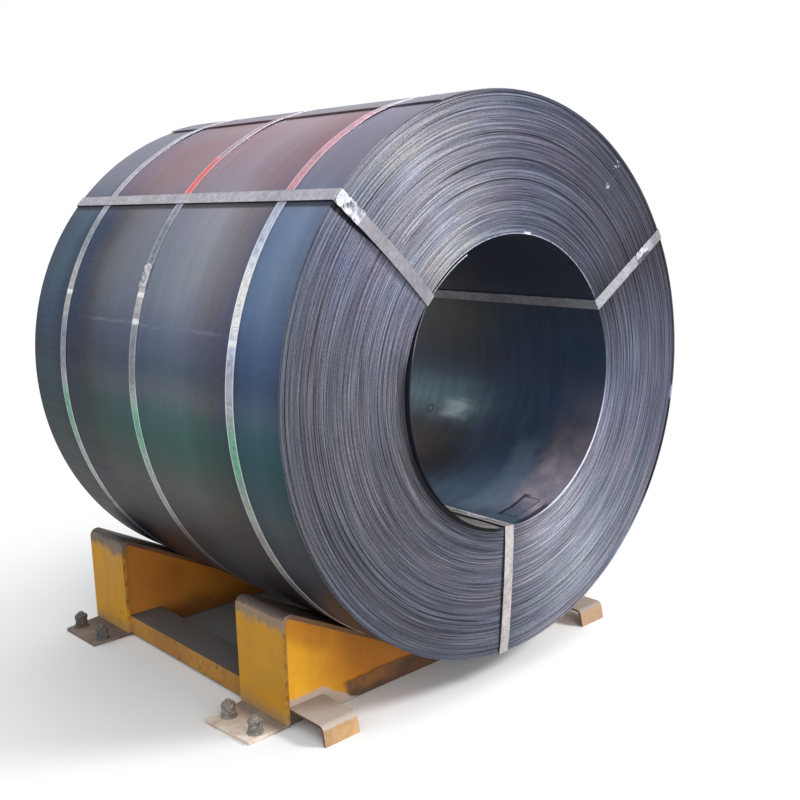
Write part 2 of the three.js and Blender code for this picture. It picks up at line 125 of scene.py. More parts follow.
def along_of(y):
    """Place along the coil's width from 0 at the near end to 1 at the far end."""
    return 0.5 + y / (2 * HALF_WIDTH)


class Value:
    """What a node gives. Sums with it add the nodes that work them out.

    Where it has places, bands, fades and ramps are given in those, such as degrees for a turn.
    """

    def __init__(self, tree, socket, places=None):
        self.tree = tree
        self.socket = socket
        self.places = places or float

    def math(self, operation, *others):
        inputs = dict(enumerate([self, *others, 0.0, 0.0][:3]))
        return self.tree.add("ShaderNodeMath", inputs, operation=operation)

    def __add__(self, other):
        return self.math("ADD", other)

    def __sub__(self, other):
        return self.math("SUBTRACT", other)

    def __rsub__(self, other):
        return self.tree.add("ShaderNodeMath", {0: other, 1: self, 2: 0.0}, operation="SUBTRACT")

    def __mul__(self, other):
        return self.math("MULTIPLY", other)

    def __truediv__(self, other):
        return self.math("DIVIDE", other)

    def __abs__(self):
        return self.math("ABSOLUTE")

    def max(self, other):
        return self.math("MAXIMUM", other)

    def min(self, other):
        return self.math("MINIMUM", other)

    def near(self, place, reach):
        """1 within reach of a place and 0 beyond."""
        return self.math("COMPARE", place, reach)

    def scaled(self, factor, plus):
        """Itself times factor, added to plus, in the places of plus."""
        result = self.math("MULTIPLY_ADD", factor, plus)
        result.places = getattr(plus, "places", float)
        return result

    def split(self):
        return self.tree.add("ShaderNodeSeparateXYZ", {0: self}, output=(0, 1, 2))

    def between(self, low, high, out_low=0.0, out_high=1.0):
        """Fades from out_low to out_high as the value goes from low to high."""
        inputs = {"Value": self, "From Min": self.places(low), "From Max": self.places(high)}
        inputs.update({"To Min": out_low, "To Max": out_high})
        return self.tree.add("ShaderNodeMapRange", inputs, interpolation_type="SMOOTHSTEP")

    def band(self, low, high, soft):
        """1 between low and high, fading to 0 over soft on both sides."""
        low, high = self.places(low), self.places(high)
        value = Value(self.tree, self.socket)
        return value.between(low - soft, low + soft) * value.between(high - soft, high + soft, 1.0, 0.0)

    def ramp(self, *stops):
        """Colours along the value: stops are a place and a colour."""
        result = self.tree.add("ShaderNodeValToRGB", {0: self})
        elements = result.socket.node.color_ramp.elements
        while len(elements) < len(stops):
            elements.new(0.5)
        for element, (place, _) in zip(elements, stops):
            element.position = self.places(place)
        for element, (_, colour) in zip(elements, stops):
            element.color = colour
        return result

    def looks(self, *stops):
        """A ramp with stops of a place and how red, green and blue it looks, 0 to 255."""
        return self.ramp(*((place, tint(*levels)) for place, *levels in stops))

    def shares(self, *stops):
        """A ramp with stops of a place and a share of the light, one or red, green and blue."""
        return self.ramp(*((place, (*(levels * 3)[:3], 1.0)) for place, *levels in stops))

    def mix(self, share, other, blend="MIX"):
        inputs = {"Factor": share, 6: self, 7: other}
        return self.tree.add("ShaderNodeMix", inputs, output=2, data_type="RGBA", blend_type=blend)

    def paint(self, share, red, green, blue):
        return self.mix(share, tint(red, green, blue))

    def tinted(self, colour):
        return self.mix(1.0, colour, "MULTIPLY")

    def lit(self, share, light):
        """A colour times light where share is 1, and as it is where share is 0."""
        return self.times(share.between(0.0, 1.0, 1.0, light))

    def times(self, value):
        """A colour made darker or lighter by a value."""
        return self.tree.add("ShaderNodeVectorMath", {0: self, "Scale": value}, operation="SCALE")


class Tree:
    """Nodes under construction: add gives the value of an output, or of several."""

    def __init__(self, owner):
        owner.use_nodes = True
        self.nodes = owner.node_tree.nodes
        self.links = owner.node_tree.links

    def add(self, kind, inputs, output=0, **settings):
        node = self.nodes.new(kind)
        for key, value in settings.items():
            setattr(node, key, value)
        self.feed(node, inputs)
        if isinstance(output, tuple):
            return [Value(self, node.outputs[index]) for index in output]
        return Value(self, node.outputs[output])

    def feed(self, node, inputs):
        for key, value in inputs.items():
            if isinstance(value, Value):
                self.links.new(value.socket, node.inputs[key])
            elif value is not None:
                node.inputs[key].default_value = value


class Finish(Tree):
    """A material under construction."""

    def __init__(self, name, roughness=0.5, metallic=0.0, specular=0.5):
        self.material = bpy.data.materials.new(name)
        super().__init__(self.material)
        self.shader = self.nodes["Principled BSDF"]
        settings = {"Roughness": roughness, "Metallic": metallic, "Specular IOR Level": specular}
        self.feed(self.shader, settings)
        self.object = self.add("ShaderNodeTexCoord", {}, output="Object")
        self.x, self.y, self.z = self.object.split()
        self.relief = None

    def mapped(self, move=(0, 0, 0), turn=(0, 0, 0), scale=(1, 1, 1)):
        inputs = {"Vector": self.object, "Location": move, "Rotation": turn, "Scale": scale}
        return self.add("ShaderNodeMapping", inputs)

    def join(self, x, y, z):
        return self.add("ShaderNodeCombineXYZ", {0: x, 1: y, 2: z})

    def facing(self):
        """Which way a surface faces, as x, y and z."""
        return self.add("ShaderNodeNewGeometry", {}, output="Normal").split()

    def noise(self, vector=None, scale=1.0, detail=4.0, rough=0.55, warp=0.0):
        inputs = {"Vector": vector or self.object, "Scale": scale, "Detail": detail}
        inputs.update({"Roughness": rough, "Distortion": warp})
        return self.add("ShaderNodeTexNoise", inputs)

    def colour(self, value):
        self.feed(self.shader, {"Base Color": value})

    def rough(self, value):
        self.feed(self.shader, {"Roughness": value})

    def bump(self, height, distance, strength=1.0):
        """Adds relief; a later call adds to what is there."""
        inputs = {"Height": height, "Distance": distance, "Strength": strength, "Normal": self.relief}
        self.relief = self.add("ShaderNodeBump", inputs)
        self.feed(self.shader, {"Normal": self.relief})

    def done(self):
        return self.material


def about_axis(finish):
    """Distance from the coil's axis, place along it, turn, and a seamless arc round it.

    The turn goes from 0 to 1 clockwise from the right: bottom 0.25, left 0.5, top 0.75.
    """
    x, y, z = finish.mapped(move=(0, -COIL_Y, -AXIS_Z)).split()
    radius = (x * x + z * z).math("SQRT")
    turn = z.math("ARCTAN2", x * -1.0).scaled(0.5 / math.pi, 0.5)
    turn.places = turn_of
    across, up = x / radius, z / radius

    def arc(along, wide=1.0, high=None):
        """A ring round the axis, stretched to be wide across and as high, or high upwards."""
        sides = ((across, wide), (up, wide if high is None else high))
        x, z = (side if factor == 1.0 else side * factor for side, factor in sides)
        return finish.join(x, along, z)

    return radius, y, turn, arc


def finish_barrel():
    """Mill scale on the outside of the coil: temper tints along it, painted shade and reflections round it.
    """
    finish = Finish("mill_scale_barrel", roughness=0.42, metallic=0.12, specular=0.12)
    _, y, turn, arc = about_axis(finish)
    wide = arc(y, 2.0)
    drift = finish.noise(wide, scale=2.2, detail=3)
    place = (drift - 0.5).scaled(0.09, y)
    along = place.scaled(1 / (2 * HALF_WIDTH), 0.5)
    along.places = along_of
    side = along.looks(
        (-0.609, 105, 118, 141), (-0.53, 128, 148, 175), (-0.46, 109, 132, 160), (-0.415, 108, 105, 124),
        (-0.33, 138, 127, 130), (-0.2, 166, 166, 173), (-0.02, 140, 142, 154), (0.12, 132, 133, 143),
        (0.22, 118, 119, 123), (0.29, 77, 79, 88), (0.36, 38, 58, 92), (0.44, 38, 63, 86),
        (0.5, 67, 94, 115), (0.609, 60, 79, 97),
    )
    crown = along.looks(
        (-0.609, 101, 102, 124), (-0.47, 111, 118, 143), (-0.415, 99, 101, 122), (-0.33, 116, 119, 131),
        (-0.2, 145, 150, 163), (-0.02, 140, 144, 157), (0.12, 129, 139, 150), (0.26, 111, 115, 122),
        (0.36, 93, 102, 128), (0.46, 92, 115, 130), (0.609, 100, 113, 129),
    )
    upper = turn.between(146, 130) * turn.between(8, 70)
    base = side.mix(upper, crown)
    # Painted shade round the barrel: darkest low on the side, lightest on the crown; painted green
    # reflections low on the side.
    base = base.tinted(turn.shares(
        (360, 0.62), (285, 0.4), (240, 0.16, 0.104, 0.08), (225, 0.127, 0.111, 0.119),
        (213, 0.085, 0.077, 0.076), (205, 0.18, 0.153, 0.143), (199, 0.237, 0.25, 0.202),
        (194, 0.132, 0.244, 0.205), (188, 0.054, 0.275, 0.221), (183, 0.135, 0.352, 0.318),
        (179, 0.32, 0.41, 0.44), (174, 0.205, 0.29, 0.41), (168, 0.35, 0.445, 0.635),
        (162, 0.61, 0.69, 0.82), (156, 0.745, 0.83, 0.885), (148, 0.84, 0.87, 0.96),
        (124, 1.17, 1.1, 1.09), (113, 1.36, 1.28, 1.22), (104, 0.66, 0.64, 0.64), (50, 0.9, 0.9, 0.94),
        (0, 0.62),
    ))
    # Painted reflections on the crown: mauve patched with red across the middle of the width, lilac grey
    # towards the ends.
    top = turn.between(146, 128) * turn.between(111, 104, 1.0, 0.0)
    middle = y.band(-0.43, 0.4, 0.05)
    red = along.shares((-0.43, 0.75), (-0.3, 0.5), (-0.12, 0.28), (0.03, 0.75), (0.16, 0.8), (0.3, 0.4))
    reflection_patch = finish.noise(wide, scale=3.5).between(0.34, 0.66, 0.45, 1.0)
    with_reflections = base.paint(top * middle * 0.42, 172, 138, 150)
    with_reflections = with_reflections.paint(top * middle * red * reflection_patch * 0.62, 168, 96, 106)
    with_reflections = with_reflections.paint(top * (1.0 - middle) * 0.55, 150, 140, 160)
    lilac = turn.between(110.2, 109.6) * turn.between(80, 60, 1.0, 0.0) * 0.65
    with_reflections = with_reflections.paint(lilac, 146, 144, 156)
    grain = finish.noise(arc(y, 60.0), detail=5, rough=0.6)
    lines = finish.noise(arc(y * 45.0, 2.5, 1.0), rough=0.6)
    grainy = with_reflections.times(grain.between(0.25, 0.75, 0.975, 1.025))
    grainy = grainy.times(lines.between(0.25, 0.75, 0.93, 1.07))
    scratch = finish.noise(finish.mapped(turn=(0, 0.1, 0), scale=(3, 14, 46)), detail=2)
    fine = scratch.band(0.498, 0.502, 0.002) * turn.between(201.6, 158.4)
    grainy = grainy.paint(fine * 0.16, 190, 196, 206)
    wobble = finish.noise(finish.join(0.0, y * 6.0, 0.0), detail=3)
    scored = wobble.scaled(0.006, turn)
    score = scored.band(165.7, 165.2, 0.0009) * y.band(-0.36, 0.31, 0.06)
    grainy = grainy.paint(score * scratch.between(0.4, 0.56, 0.25, 1.0) * 0.24, 164, 172, 184)
    # Painted shadows under eye strap 1 and under the tail's edge, and a dark line along the far rim.
    eye_strap_shadow = turn.band(142.0, 140.6, 0.0008)
    tail_shadow = turn.band(111.0, 110.1, 0.0006)
    far_rim = y.between(0.6035, 0.6075, 0.0, 0.8)
    grainy = grainy.paint(eye_strap_shadow.max(tail_shadow).max(far_rim) * 0.8, 22, 22, 30)
    finish.colour(grainy)
    finish.rough(grain.between(0.3, 0.7, 0.42, 0.47))
    finish.bump(finish.noise(wide, scale=3.0, detail=2), 0.004, 0.25)
    return finish.done()


# Gaps between turns that show as dark rings: radius, the angles they run between, and darkness.
RING_GAPS = (
    (0.702, 14, 48, 0.5), (0.664, 178, 245, 0.6), (0.639, 176, 262, 0.75), (0.627, 182, 258, 0.9),
    (0.612, 184, 252, 0.6), (0.626, 16, 104, 0.75), (0.606, 28, 92, 0.5), (0.563, 14, 116, 0.95),
    (0.553, 20, 84, 0.5), (0.514, 4, 118, 0.8), (0.501, 204, 256, 0.6), (0.462, 40, 104, 0.6),
    (0.443, 182, 262, 0.7), (0.437, 22, 116, 0.7), (0.628, 268, 338, 0.6), (0.413, 196, 262, 0.6),
)
# Where the straps turn over the rim of the ends.
RIM_RADIUS = 0.7265
# Dark fringes beside the straps on the ends: the strap's angle and lean, then how far off
# its middle the fringe begins and ends, how dark it is, and how much it widens at the rim.
STRAP_SHADOWS = (
    (139.6, 2.2, 0.008, 0.025, 0.95, 0.007),
    (30.5, -2.4, -0.0195, -0.015, 0.6, 0.0),
    (265.8, 0.0, -0.0215, -0.015, 0.7, 0.0),
)


def ring_gaps(radius, turn):
    """The share of dark rings at a radius and turn."""
    dark = None
    for place, start, end, depth in RING_GAPS:
        half = 0.001 + 0.0012 * depth
        ring = radius.band(place - half, place + half, 0.001) * turn.band(end, start, 0.018) * depth
        dark = ring if dark is None else dark.max(ring)
    return dark


def strap_shadows(finish, base, radius, turn):
    """Paints the dark fringes over base."""
    across = finish.mapped(move=(0, 0, -AXIS_Z)).split()
    for angle, lean, low_side, high_side, depth, spread in STRAP_SHADOWS:
        x_share = across[0] * -math.sin(math.radians(angle))
        aside = across[2].scaled(math.cos(math.radians(angle)), x_share)
        aside = (RIM_RADIUS - radius).scaled(math.tan(math.radians(lean)), aside)
        aside = aside - radius.between(0.56, 0.71, 0.0, spread)
        fringe = aside.band(low_side, high_side, 0.0025) * turn.band(angle + 12, angle - 12, 0.001)
        base = base.paint(fringe * depth, 18, 19, 28)
    return base


def finish_turns():
    """The sheared edges of the turns: fine rings under fine speckle, with darker gaps, painted sheen, shade
    and highlights.
    """
    finish = Finish("turn_edges", roughness=0.5, metallic=0.3, specular=0.18)
    radius, _, turn, arc = about_axis(finish)

    def rings(pitch, wide):
        return finish.noise(arc(radius * (1 / pitch), wide), detail=0)

    fine = rings(0.0017, 5.0)
    turns = rings(0.0034, 2.6)
    laps = rings(0.011, 1.2)
    broad = rings(0.045, 0.9)
    speckle = finish.noise(scale=380.0, detail=2, rough=0.7)
    level = fine.scaled(0.44, turns * 0.44)
    for part, share in ((laps, 0.08), (broad, 0.08), (speckle, 0.66)):
        level = part.scaled(share, level)
    base = (level - 0.35).looks(
        (0.2, 50, 52, 64), (0.42, 98, 101, 115), (0.58, 126, 129, 143), (0.85, 180, 182, 192),
    )
    drift = finish.noise(arc(0.0), scale=1.3, detail=1)
    dark = ring_gaps((drift - 0.5).scaled(0.016, radius), turn)
    curve = rings(0.021, 0.55)
    line = curve.band(0.49, 0.496, 0.012).max(curve.band(0.6, 0.606, 0.011))
    faded = rings(0.05, 1.4).between(0.4, 0.6, 0.0, 0.42)
    dark = dark.max(line * faded)
    thin = rings(0.0085, 0.6)
    strength = rings(0.03, 1.8).between(0.38, 0.62, 0.15, 0.75)
    smooth = turn.band(334, 292, 0.02) * radius.band(0.405, 0.5, 0.02)
    hairs = thin.band(0.49, 0.5, 0.024) * strength * smooth.between(0.0, 1.0, 1.0, 0.4)
    base = base.paint(dark.max(hairs), 26, 27, 36)
    bright = rings(0.02, 2.2).between(0.42, 0.62, 0.0, 0.34)
    base = base.paint(thin.band(0.62, 0.64, 0.024) * bright, 196, 200, 212)
    # Painted sheen and shade round the face: lighter at the upper left and lower right, darker between.
    base = base.tinted(turn.shares(
        (360, *cool(0.285)), (342, *cool(0.365)), (313, 0.57), (297, *warm(0.79)), (284, *warm(0.68)),
        (268, 0.33), (254, 0.295), (240, 0.256), (225, 0.256), (195, *warm(0.25)), (168, 0.27),
        (148, *cool(0.385)), (134, *warm(0.58)), (123, *warm(0.81)), (108, *warm(0.54)),
        (88, *cool(0.28)), (74, *cool(0.228)), (62, *cool(0.16)), (45, *cool(0.145)), (30, *cool(0.073)),
        (15, *cool(0.19)), (0, *cool(0.285)),
    )).times(1.92)
    hue = finish.noise(arc(radius * 9.0), scale=1.7, detail=3)
    base = base.tinted(hue.shares(
        (0.34, 0.95, 1.03, 1.02), (0.46, 0.98, 1.0, 1.06), (0.54, 1.01, 1.0, 0.99),
        (0.66, 1.07, 0.98, 1.0),
    ))
    # Darker towards the rim; painted shade on the rim at the upper right, painted sheen near the bore at the
    # lower right.
    base = base.tinted(radius.shares((0.4, 1.0), (0.48, 1.04), (0.55, 0.98), (0.62, 0.93), (0.71, 0.84)))
    right = abs(turn - turn_of(36)).between(0.15, 0.08) * radius.between(0.62, 0.71) * 0.12
    base = base.times(1.0 - right)
    lower_right = turn.band(352, 298, 0.02) * radius.between(0.47, 0.4)
    base = base.lit(lower_right, 1.16)
    outer = turn.band(129, 117, 0.008) * radius.band(0.65, 0.695, 0.012)
    inner = turn.band(136, 112, 0.012) * radius.between(0.47, 0.4)
    base = base.paint(outer.max(inner) * speckle.between(0.4, 0.6) * 0.3, 196, 190, 156)
    above = turn.between(116.5, 114).max(turn.between(313.2, 331.2))
    base = base.paint(radius.band(0.7185, 0.7212, 0.0008) * above * 0.85, 16, 17, 22)
    # Painted shade along the rim at the lower right.
    outline = turn.band(348, 324, 0.006) * radius.between(0.7175, 0.7205)
    base = base.paint(outline * 0.95, 14, 15, 24)
    worn = turn.band(352.5, 349.3, 0.002) * radius.between(0.7165, 0.7205)
    base = base.paint(worn * 0.7, 176, 178, 212)
    # Darker towards the bore on the left and below, then a painted black gap in shade along the bore's edge.
    darker_near_bore = turn.band(262, 166, 0.02) * turns.scaled(0.02, radius).between(0.428, 0.396)
    base = base.paint(darker_near_bore * 0.9, 36, 35, 40)
    base = base.paint(turn.band(262, 196, 0.02) * radius.between(0.3925, 0.391) * 0.9, 10, 10, 12)
    nicks = finish.noise(finish.mapped(scale=(60, 1, 110)), detail=3, rough=0.7)
    nicked = turn.band(54, 52.6, 0.0012) * radius.band(0.622, 0.712, 0.004) * nicks.between(0.56, 0.62) * 0.6
    base = base.paint(nicked, 196, 196, 204)
    # Painted highlights along the bore's edge, ragged above and bright at the lower right; then a small
    # white spot at the top.
    rim_highlight = fine.scaled(0.0016, radius).between(0.3858, 0.3842)
    patchy = finish.noise(arc(0.0, 22.0), scale=5.0)
    upper = turn.band(132, 34, 0.02) * patchy.between(0.42, 0.56, 0.1, 0.62)
    lower = turn.band(345, 286, 0.05) * patchy.between(0.3, 0.5, 0.5, 0.85)
    base = base.paint(rim_highlight * upper, 206, 210, 232)
    lower = lower * fine.scaled(0.0016, radius).between(0.3876, 0.3858)
    base = base.paint(lower, 240, 243, 255)
    white_spot = turn.band(85, 81.4, 0.0012) * radius.between(0.3885, 0.3865)
    base = base.paint(white_spot * patchy.between(0.3, 0.45), 226, 228, 240)
    finish.colour(strap_shadows(finish, base, radius, turn))
    finish.bump(turns, 0.0009, 0.4)
    tangent = finish.add("ShaderNodeTangent", {}, direction_type="RADIAL", axis="Y")
    finish.feed(finish.shader, {"Anisotropic": 0.6, "Tangent": tangent})
    return finish.done()


# In the bore: the middle of the tag and of the small ring, as an angle and a place along it,
# half the tag's sides, and the radius of the ring.
TAG_ANGLE, TAG_Y = 284.5, -0.539
TAG_HALF = (0.055, 0.03)
RING_ANGLE, RING_Y = 328.5, 0.076
RING_RADIUS = 0.0125


def finish_bore():
    """The inside of the coil: dark scale, clouded teal, painted shade, light and reflections, a mauve strip
    and a tag in the mouth.
    """
    finish = Finish("bore_scale", roughness=0.42, metallic=0.25)
    _, y, turn, arc = about_axis(finish)
    wide = arc(y * 0.8)
    clouds = finish.noise(wide, scale=2.6, detail=5, rough=0.6, warp=0.5)
    wander = clouds - 0.5
    swept = wander.scaled(0.04, turn)
    # Painted shade and light round the bore: darkest at the top, lighter at the lower right, dimmer deep
    # inside than near the mouth.
    deep = swept.looks(
        (355, 38, 48, 66), (349, 58, 78, 96), (341, 92, 120, 134), (334, 108, 138, 148),
        (328, 92, 112, 122), (322, 56, 64, 74), (310, 48, 47, 55), (298, 48, 48, 58), (285, 80, 82, 94),
        (255, 60, 66, 78), (200, 44, 46, 56), (120, 44, 45, 54), (35, 48, 48, 58), (22, 64, 62, 60),
        (14, 54, 58, 58), (3, 38, 46, 58),
    )
    shallow = swept.looks(
        (357, 50, 64, 90), (340, 55, 74, 104), (322, 58, 76, 98), (312, 70, 88, 116), (300, 84, 102, 130),
        (286, 90, 112, 138), (274, 84, 100, 118), (255, 76, 84, 98), (200, 56, 60, 74), (110, 52, 54, 66),
        (40, 52, 56, 70), (14, 52, 66, 86), (3, 48, 64, 90),
    )
    inner = wander.scaled(0.2, y)
    base = shallow.mix(inner.between(-0.26, -0.06), deep)
    lines = finish.noise(arc(y * 14.0), scale=2.4, detail=3)
    base = base.times(lines.between(0.3, 0.7, 0.86, 1.14))
    # A painted reflection: a pale patch at the lower right, halfway in.
    right = turn.band(336, 326, 0.006)
    spots = finish.noise(wide, scale=6.0, detail=3)
    reflection_patch = right * inner.band(-0.12, 0.0, 0.035) * spots.between(0.42, 0.6, 0.3, 1.0)
    base = base.paint(reflection_patch * 0.9, 190, 212, 220)
    red = swept.band(318, 302, 0.01) * inner.band(-0.06, 0.12, 0.04)
    base = base.paint(red * 0.6, 66, 42, 48)
    # Painted light at the lower right just inside the mouth.
    mouth_light = swept.band(322, 276, 0.02) * inner.band(-0.45, -0.36, 0.025)
    base = base.paint(mouth_light * 0.5, 126, 146, 166)
    even = arc(y * 2.6)
    ragged = finish.noise(even, scale=7.0, detail=5, rough=0.65)
    strip = (ragged - 0.5).scaled(0.12, y)
    # The mauve strip inside the mouth, lighter towards the lower right by painted light.
    above = (turn + 0.5).math("FRACT").between(0.49, 0.61)
    mouth = strip.between(-0.41, -0.53) * above * turn.between(273.6, 288, 0.0, 1.0)
    mauve = finish.noise(even, scale=4.2, detail=5, rough=0.6).looks(
        (0.36, 96, 92, 104), (0.5, 116, 108, 120), (0.66, 138, 126, 130),
    )
    sunlit = turn.shares((350, 0.34), (336, 0.37), (324, 0.41), (312, 0.72), (300, 0.83), (285, 0.8))
    base = base.mix(mouth * 0.85, mauve.tinted(sunlit).times(2.5))
    # A pale patch beside the lowest strap inside the mouth.
    beneath = turn.band(262, 250, 0.004) * y.between(-0.4, -0.44)
    pale_patch = finish.noise(finish.join(turn * 40.0, y * 3.0, 0.0), scale=4.0)
    pale_patch = pale_patch.looks((0.36, 92, 88, 92), (0.5, 152, 145, 140), (0.64, 194, 186, 176))
    base = base.mix(beneath * 0.85, pale_patch)
    shadow = turn.band(264.2, 261.8, 0.001) * y.between(-0.3, -0.34)
    base = base.paint(shadow * 0.85, 26, 27, 34)
    tag_x = abs(turn.scaled(BORE_ROUND, -BORE_ROUND * turn_of(TAG_ANGLE)))
    tag_y = abs(y - TAG_Y)
    edge = (tag_x - TAG_HALF[0]).max(tag_y - TAG_HALF[1])
    edge = (ragged - 0.5).scaled(0.012, edge)
    lifted = edge.band(-0.004, 0.007, 0.003) * y.between(-0.53, -0.512) * 0.75
    base = base.paint(lifted, 22, 25, 40)
    base = base.paint(edge.band(-0.0045, 0.0, 0.002) * 0.75, 30, 34, 50)
    base = base.paint(edge.between(-0.004, -0.006, 0.0, 0.4), 70, 84, 108)
    pale_end = edge.between(-0.004, -0.006) * turn.between(288.5, 289.5) * 0.6
    base = base.paint(pale_end, 168, 158, 168)
    gap = y.between(-0.586, -0.594) * turn.band(291, 272, 0.006) * 0.8
    base = base.paint(gap, 22, 25, 38)
    ring_x = (turn - turn_of(RING_ANGLE)) * BORE_ROUND
    ring_y = y - RING_Y
    spread = ring_x * ring_x + ring_y * ring_y
    ring = spread.math("SQRT").band(RING_RADIUS - 0.002, RING_RADIUS + 0.002, 0.0015)
    base = base.paint(ring, 12, 15, 18)
    finish.colour(base)
    finish.bump(finish.noise(wide, scale=9.0, detail=3), 0.002, 0.3)
    return finish.done()


def strap_base(finish, turn, *zones):
    """Galvanised strapping: grainy, with dull patches."""
    blotches = finish.noise(scale=75.0, detail=5, rough=0.7)
    wide = finish.noise(scale=10.0, detail=3)
    base = turn.looks(*zones)
    base = base.times(blotches.between(0.3, 0.7, 0.76, 1.16))
    base = base.times(wide.between(0.35, 0.65, 0.88, 1.1))
    finish.rough(blotches.between(0.3, 0.7, 0.5, 0.3))
    finish.bump(finish.noise(scale=220.0, detail=3), 0.0005, 0.3)
    return base


# Painted glints on the straps round the barrel: strap, angle.
GLINTS = ((0, 167.4), (1, 157.2), (1, 160.6), (1, 166.0), (2, 161.4))


def finish_band():
    """Straps round the barrel, with painted shade, glints and reflections of what stands round the coil, and
    bright edges.
    """
    finish = Finish("band_zinc", roughness=0.38, metallic=0.4)
    _, y, turn, arc = about_axis(finish)
    # Round the straps: painted shade low on the side, painted white glints and green reflections.
    base = strap_base(
        finish, turn,
        (300, 150, 146, 142), (225, 112, 108, 106), (212, 140, 138, 134), (202, 166, 166, 163),
        (195, 146, 168, 156), (190, 94, 166, 136), (184, 102, 172, 144), (180.5, 170, 176, 178),
        (172, 178, 184, 212), (168, 196, 206, 232), (164, 255, 255, 255), (157, 255, 255, 255),
        (151, 204, 218, 236), (141, 164, 172, 194), (137, 188, 174, 192), (116, 204, 194, 210),
        (60, 190, 188, 194),
    )
    # Painted reflections: red on the middle strap's crown, pink on the near strap.
    red_reflection = turn.band(138.5, 127.5, 0.003)
    middle = y.near(BAND_PLACES[1], 0.05)
    base = base.paint(red_reflection * middle * 0.92, 244, 84, 84)
    pink_reflection = turn.band(139, 112, 0.01) * y.near(BAND_PLACES[0], 0.05)
    base = base.paint(pink_reflection * 0.6, 232, 132, 148)
    off = [abs(y - place) for place in BAND_PLACES]
    nearest = off[0].min(off[1].min(off[2]))
    base = base.paint(nearest.between(0.0115, 0.014, 0.0, 0.5), 246, 248, 252)
    dull = finish.noise(arc(0.0, 9.0), scale=5.0)
    shaded = dull.between(0.5, 0.64) * nearest.between(0.012, 0.006)
    base = base.paint(shaded * 0.4, 96, 102, 118)
    outer = turn.band(179, 144, 0.012).max(turn.band(280, 208, 0.02))
    beyond = y.between(-0.2, -0.1) * outer
    base = base.lit(beyond, 0.5)
    core = turn.band(157, 140, 0.006) * nearest.between(0.0125, 0.0085)
    frayed = finish.noise(scale=55.0, detail=3, rough=0.6).between(0.36, 0.56, 0.35, 1.0)
    base = base.paint(core * frayed * middle * 0.62, 84, 92, 104)
    for index, angle in GLINTS:
        spot = frayed.scaled(0.0008, turn).band(angle + 0.5, angle - 0.5, 0.0008)
        base = base.paint(spot * y.near(BAND_PLACES[index], 0.05) * 0.85, 255, 255, 255)
    crown = turn.band(127, 106, 0.004) * nearest.between(0.0145, 0.0115)
    base = base.paint(crown * frayed * middle * 0.7, 156, 124, 136)
    finish.colour(base)
    return finish.done()


def finish_eye():
    """Straps through the eye: pale and even, brighter on the lowest one inside the bore with painted
    highlights.
    """
    finish = Finish("eye_zinc", roughness=0.42, metallic=0.35)
    radius, y, turn, arc = about_axis(finish)
    base = strap_base(
        finish, turn,
        (300, 178, 170, 169), (240, 178, 170, 169), (141, 182, 178, 188), (30, 154, 155, 161),
    )
    faced = y.between(-0.6085, -0.611)
    base = base.lit(faced * turn.band(160, 120, 0.02), 0.54)
    torn = finish.noise(arc(y * 6.0), scale=9.0)
    torn = (torn - 0.5).scaled(0.012, turn)
    within = radius.between(0.41, 0.4) * y.band(-0.58, 0.2, 0.04)
    base = base.paint(within * torn.band(272, 267.2, 0.001) * 0.8, 226, 224, 226)
    # Painted highlights on the lowest strap inside the bore.
    strap_highlight = finish.noise(arc(y), scale=60.0, detail=3).between(0.44, 0.54)
    strap_highlight = strap_highlight * y.band(-0.51, -0.44, 0.012) * turn.band(271.5, 264.5, 0.003)
    base = base.paint(strap_highlight * within, 250, 250, 255)
    base = base.paint(within * torn.band(266.2, 265.2, 0.001) * 0.6, 70, 66, 70)
    outmost = faced * turn.band(50, 10, 0.02) * radius.between(0.66, 0.7)
    base = base.lit(outmost, 0.6)
    finish.colour(base)
    return finish.done()


# The seals on the near end, upper left and right: angle, and how far out they lie.
LEFT_SEAL = (139.4, 0.69)
RIGHT_SEAL = (30.9, 0.66)


def finish_seal():
    """Seal steel: brighter than the strap, dark where it is crimped."""
    finish = Finish("seal_zinc", roughness=0.3, metallic=0.5)
    blotches = finish.noise(scale=85.0, rough=0.6)
    base = blotches.looks(
        (0.36, 78, 80, 90), (0.46, 168, 170, 178), (0.56, 200, 200, 208), (0.74, 226, 226, 232),
    )
    radius, y, turn, _ = about_axis(finish)

    def off_middle(angle, out):
        return (turn - turn_of(angle)) * (-2 * math.pi * out)

    faced = y.between(-0.6, -0.605)
    left = turn.band(150, 130, 0.001)
    offset = off_middle(*LEFT_SEAL)
    ragged = (blotches - 0.5).scaled(0.012, radius)
    patch = ragged.band(0.6555, 0.69, 0.003) * offset.band(-0.0125, 0.0075, 0.002)
    worn = blotches.looks((0.4, 84, 86, 98), (0.5, 128, 130, 142), (0.62, 172, 174, 184))
    base = base.mix(faced * left * patch * 0.9, worn)
    right = turn.band(40, 20, 0.001)
    rims = abs(off_middle(*RIGHT_SEAL)).between(0.0125, 0.0145)
    hatch = blotches.between(0.56, 0.46) * radius.between(0.64, 0.655)
    base = base.paint(faced * right * rims.max(hatch) * 0.85, 48, 50, 62)
    finish.colour(base)
    finish.bump(blotches, 0.0008, 0.4)
    return finish.done()


def dusted(finish, base, dust, amount, first=0.35):
    """Dust that lies on what faces up, in uneven drifts."""
    drift = finish.noise(scale=14.0, detail=6, rough=0.65)
    lying = (drift - 0.5).scaled(1.2, finish.facing()[2]).between(first, first + 0.4)
    return base.mix(lying * amount, dust)


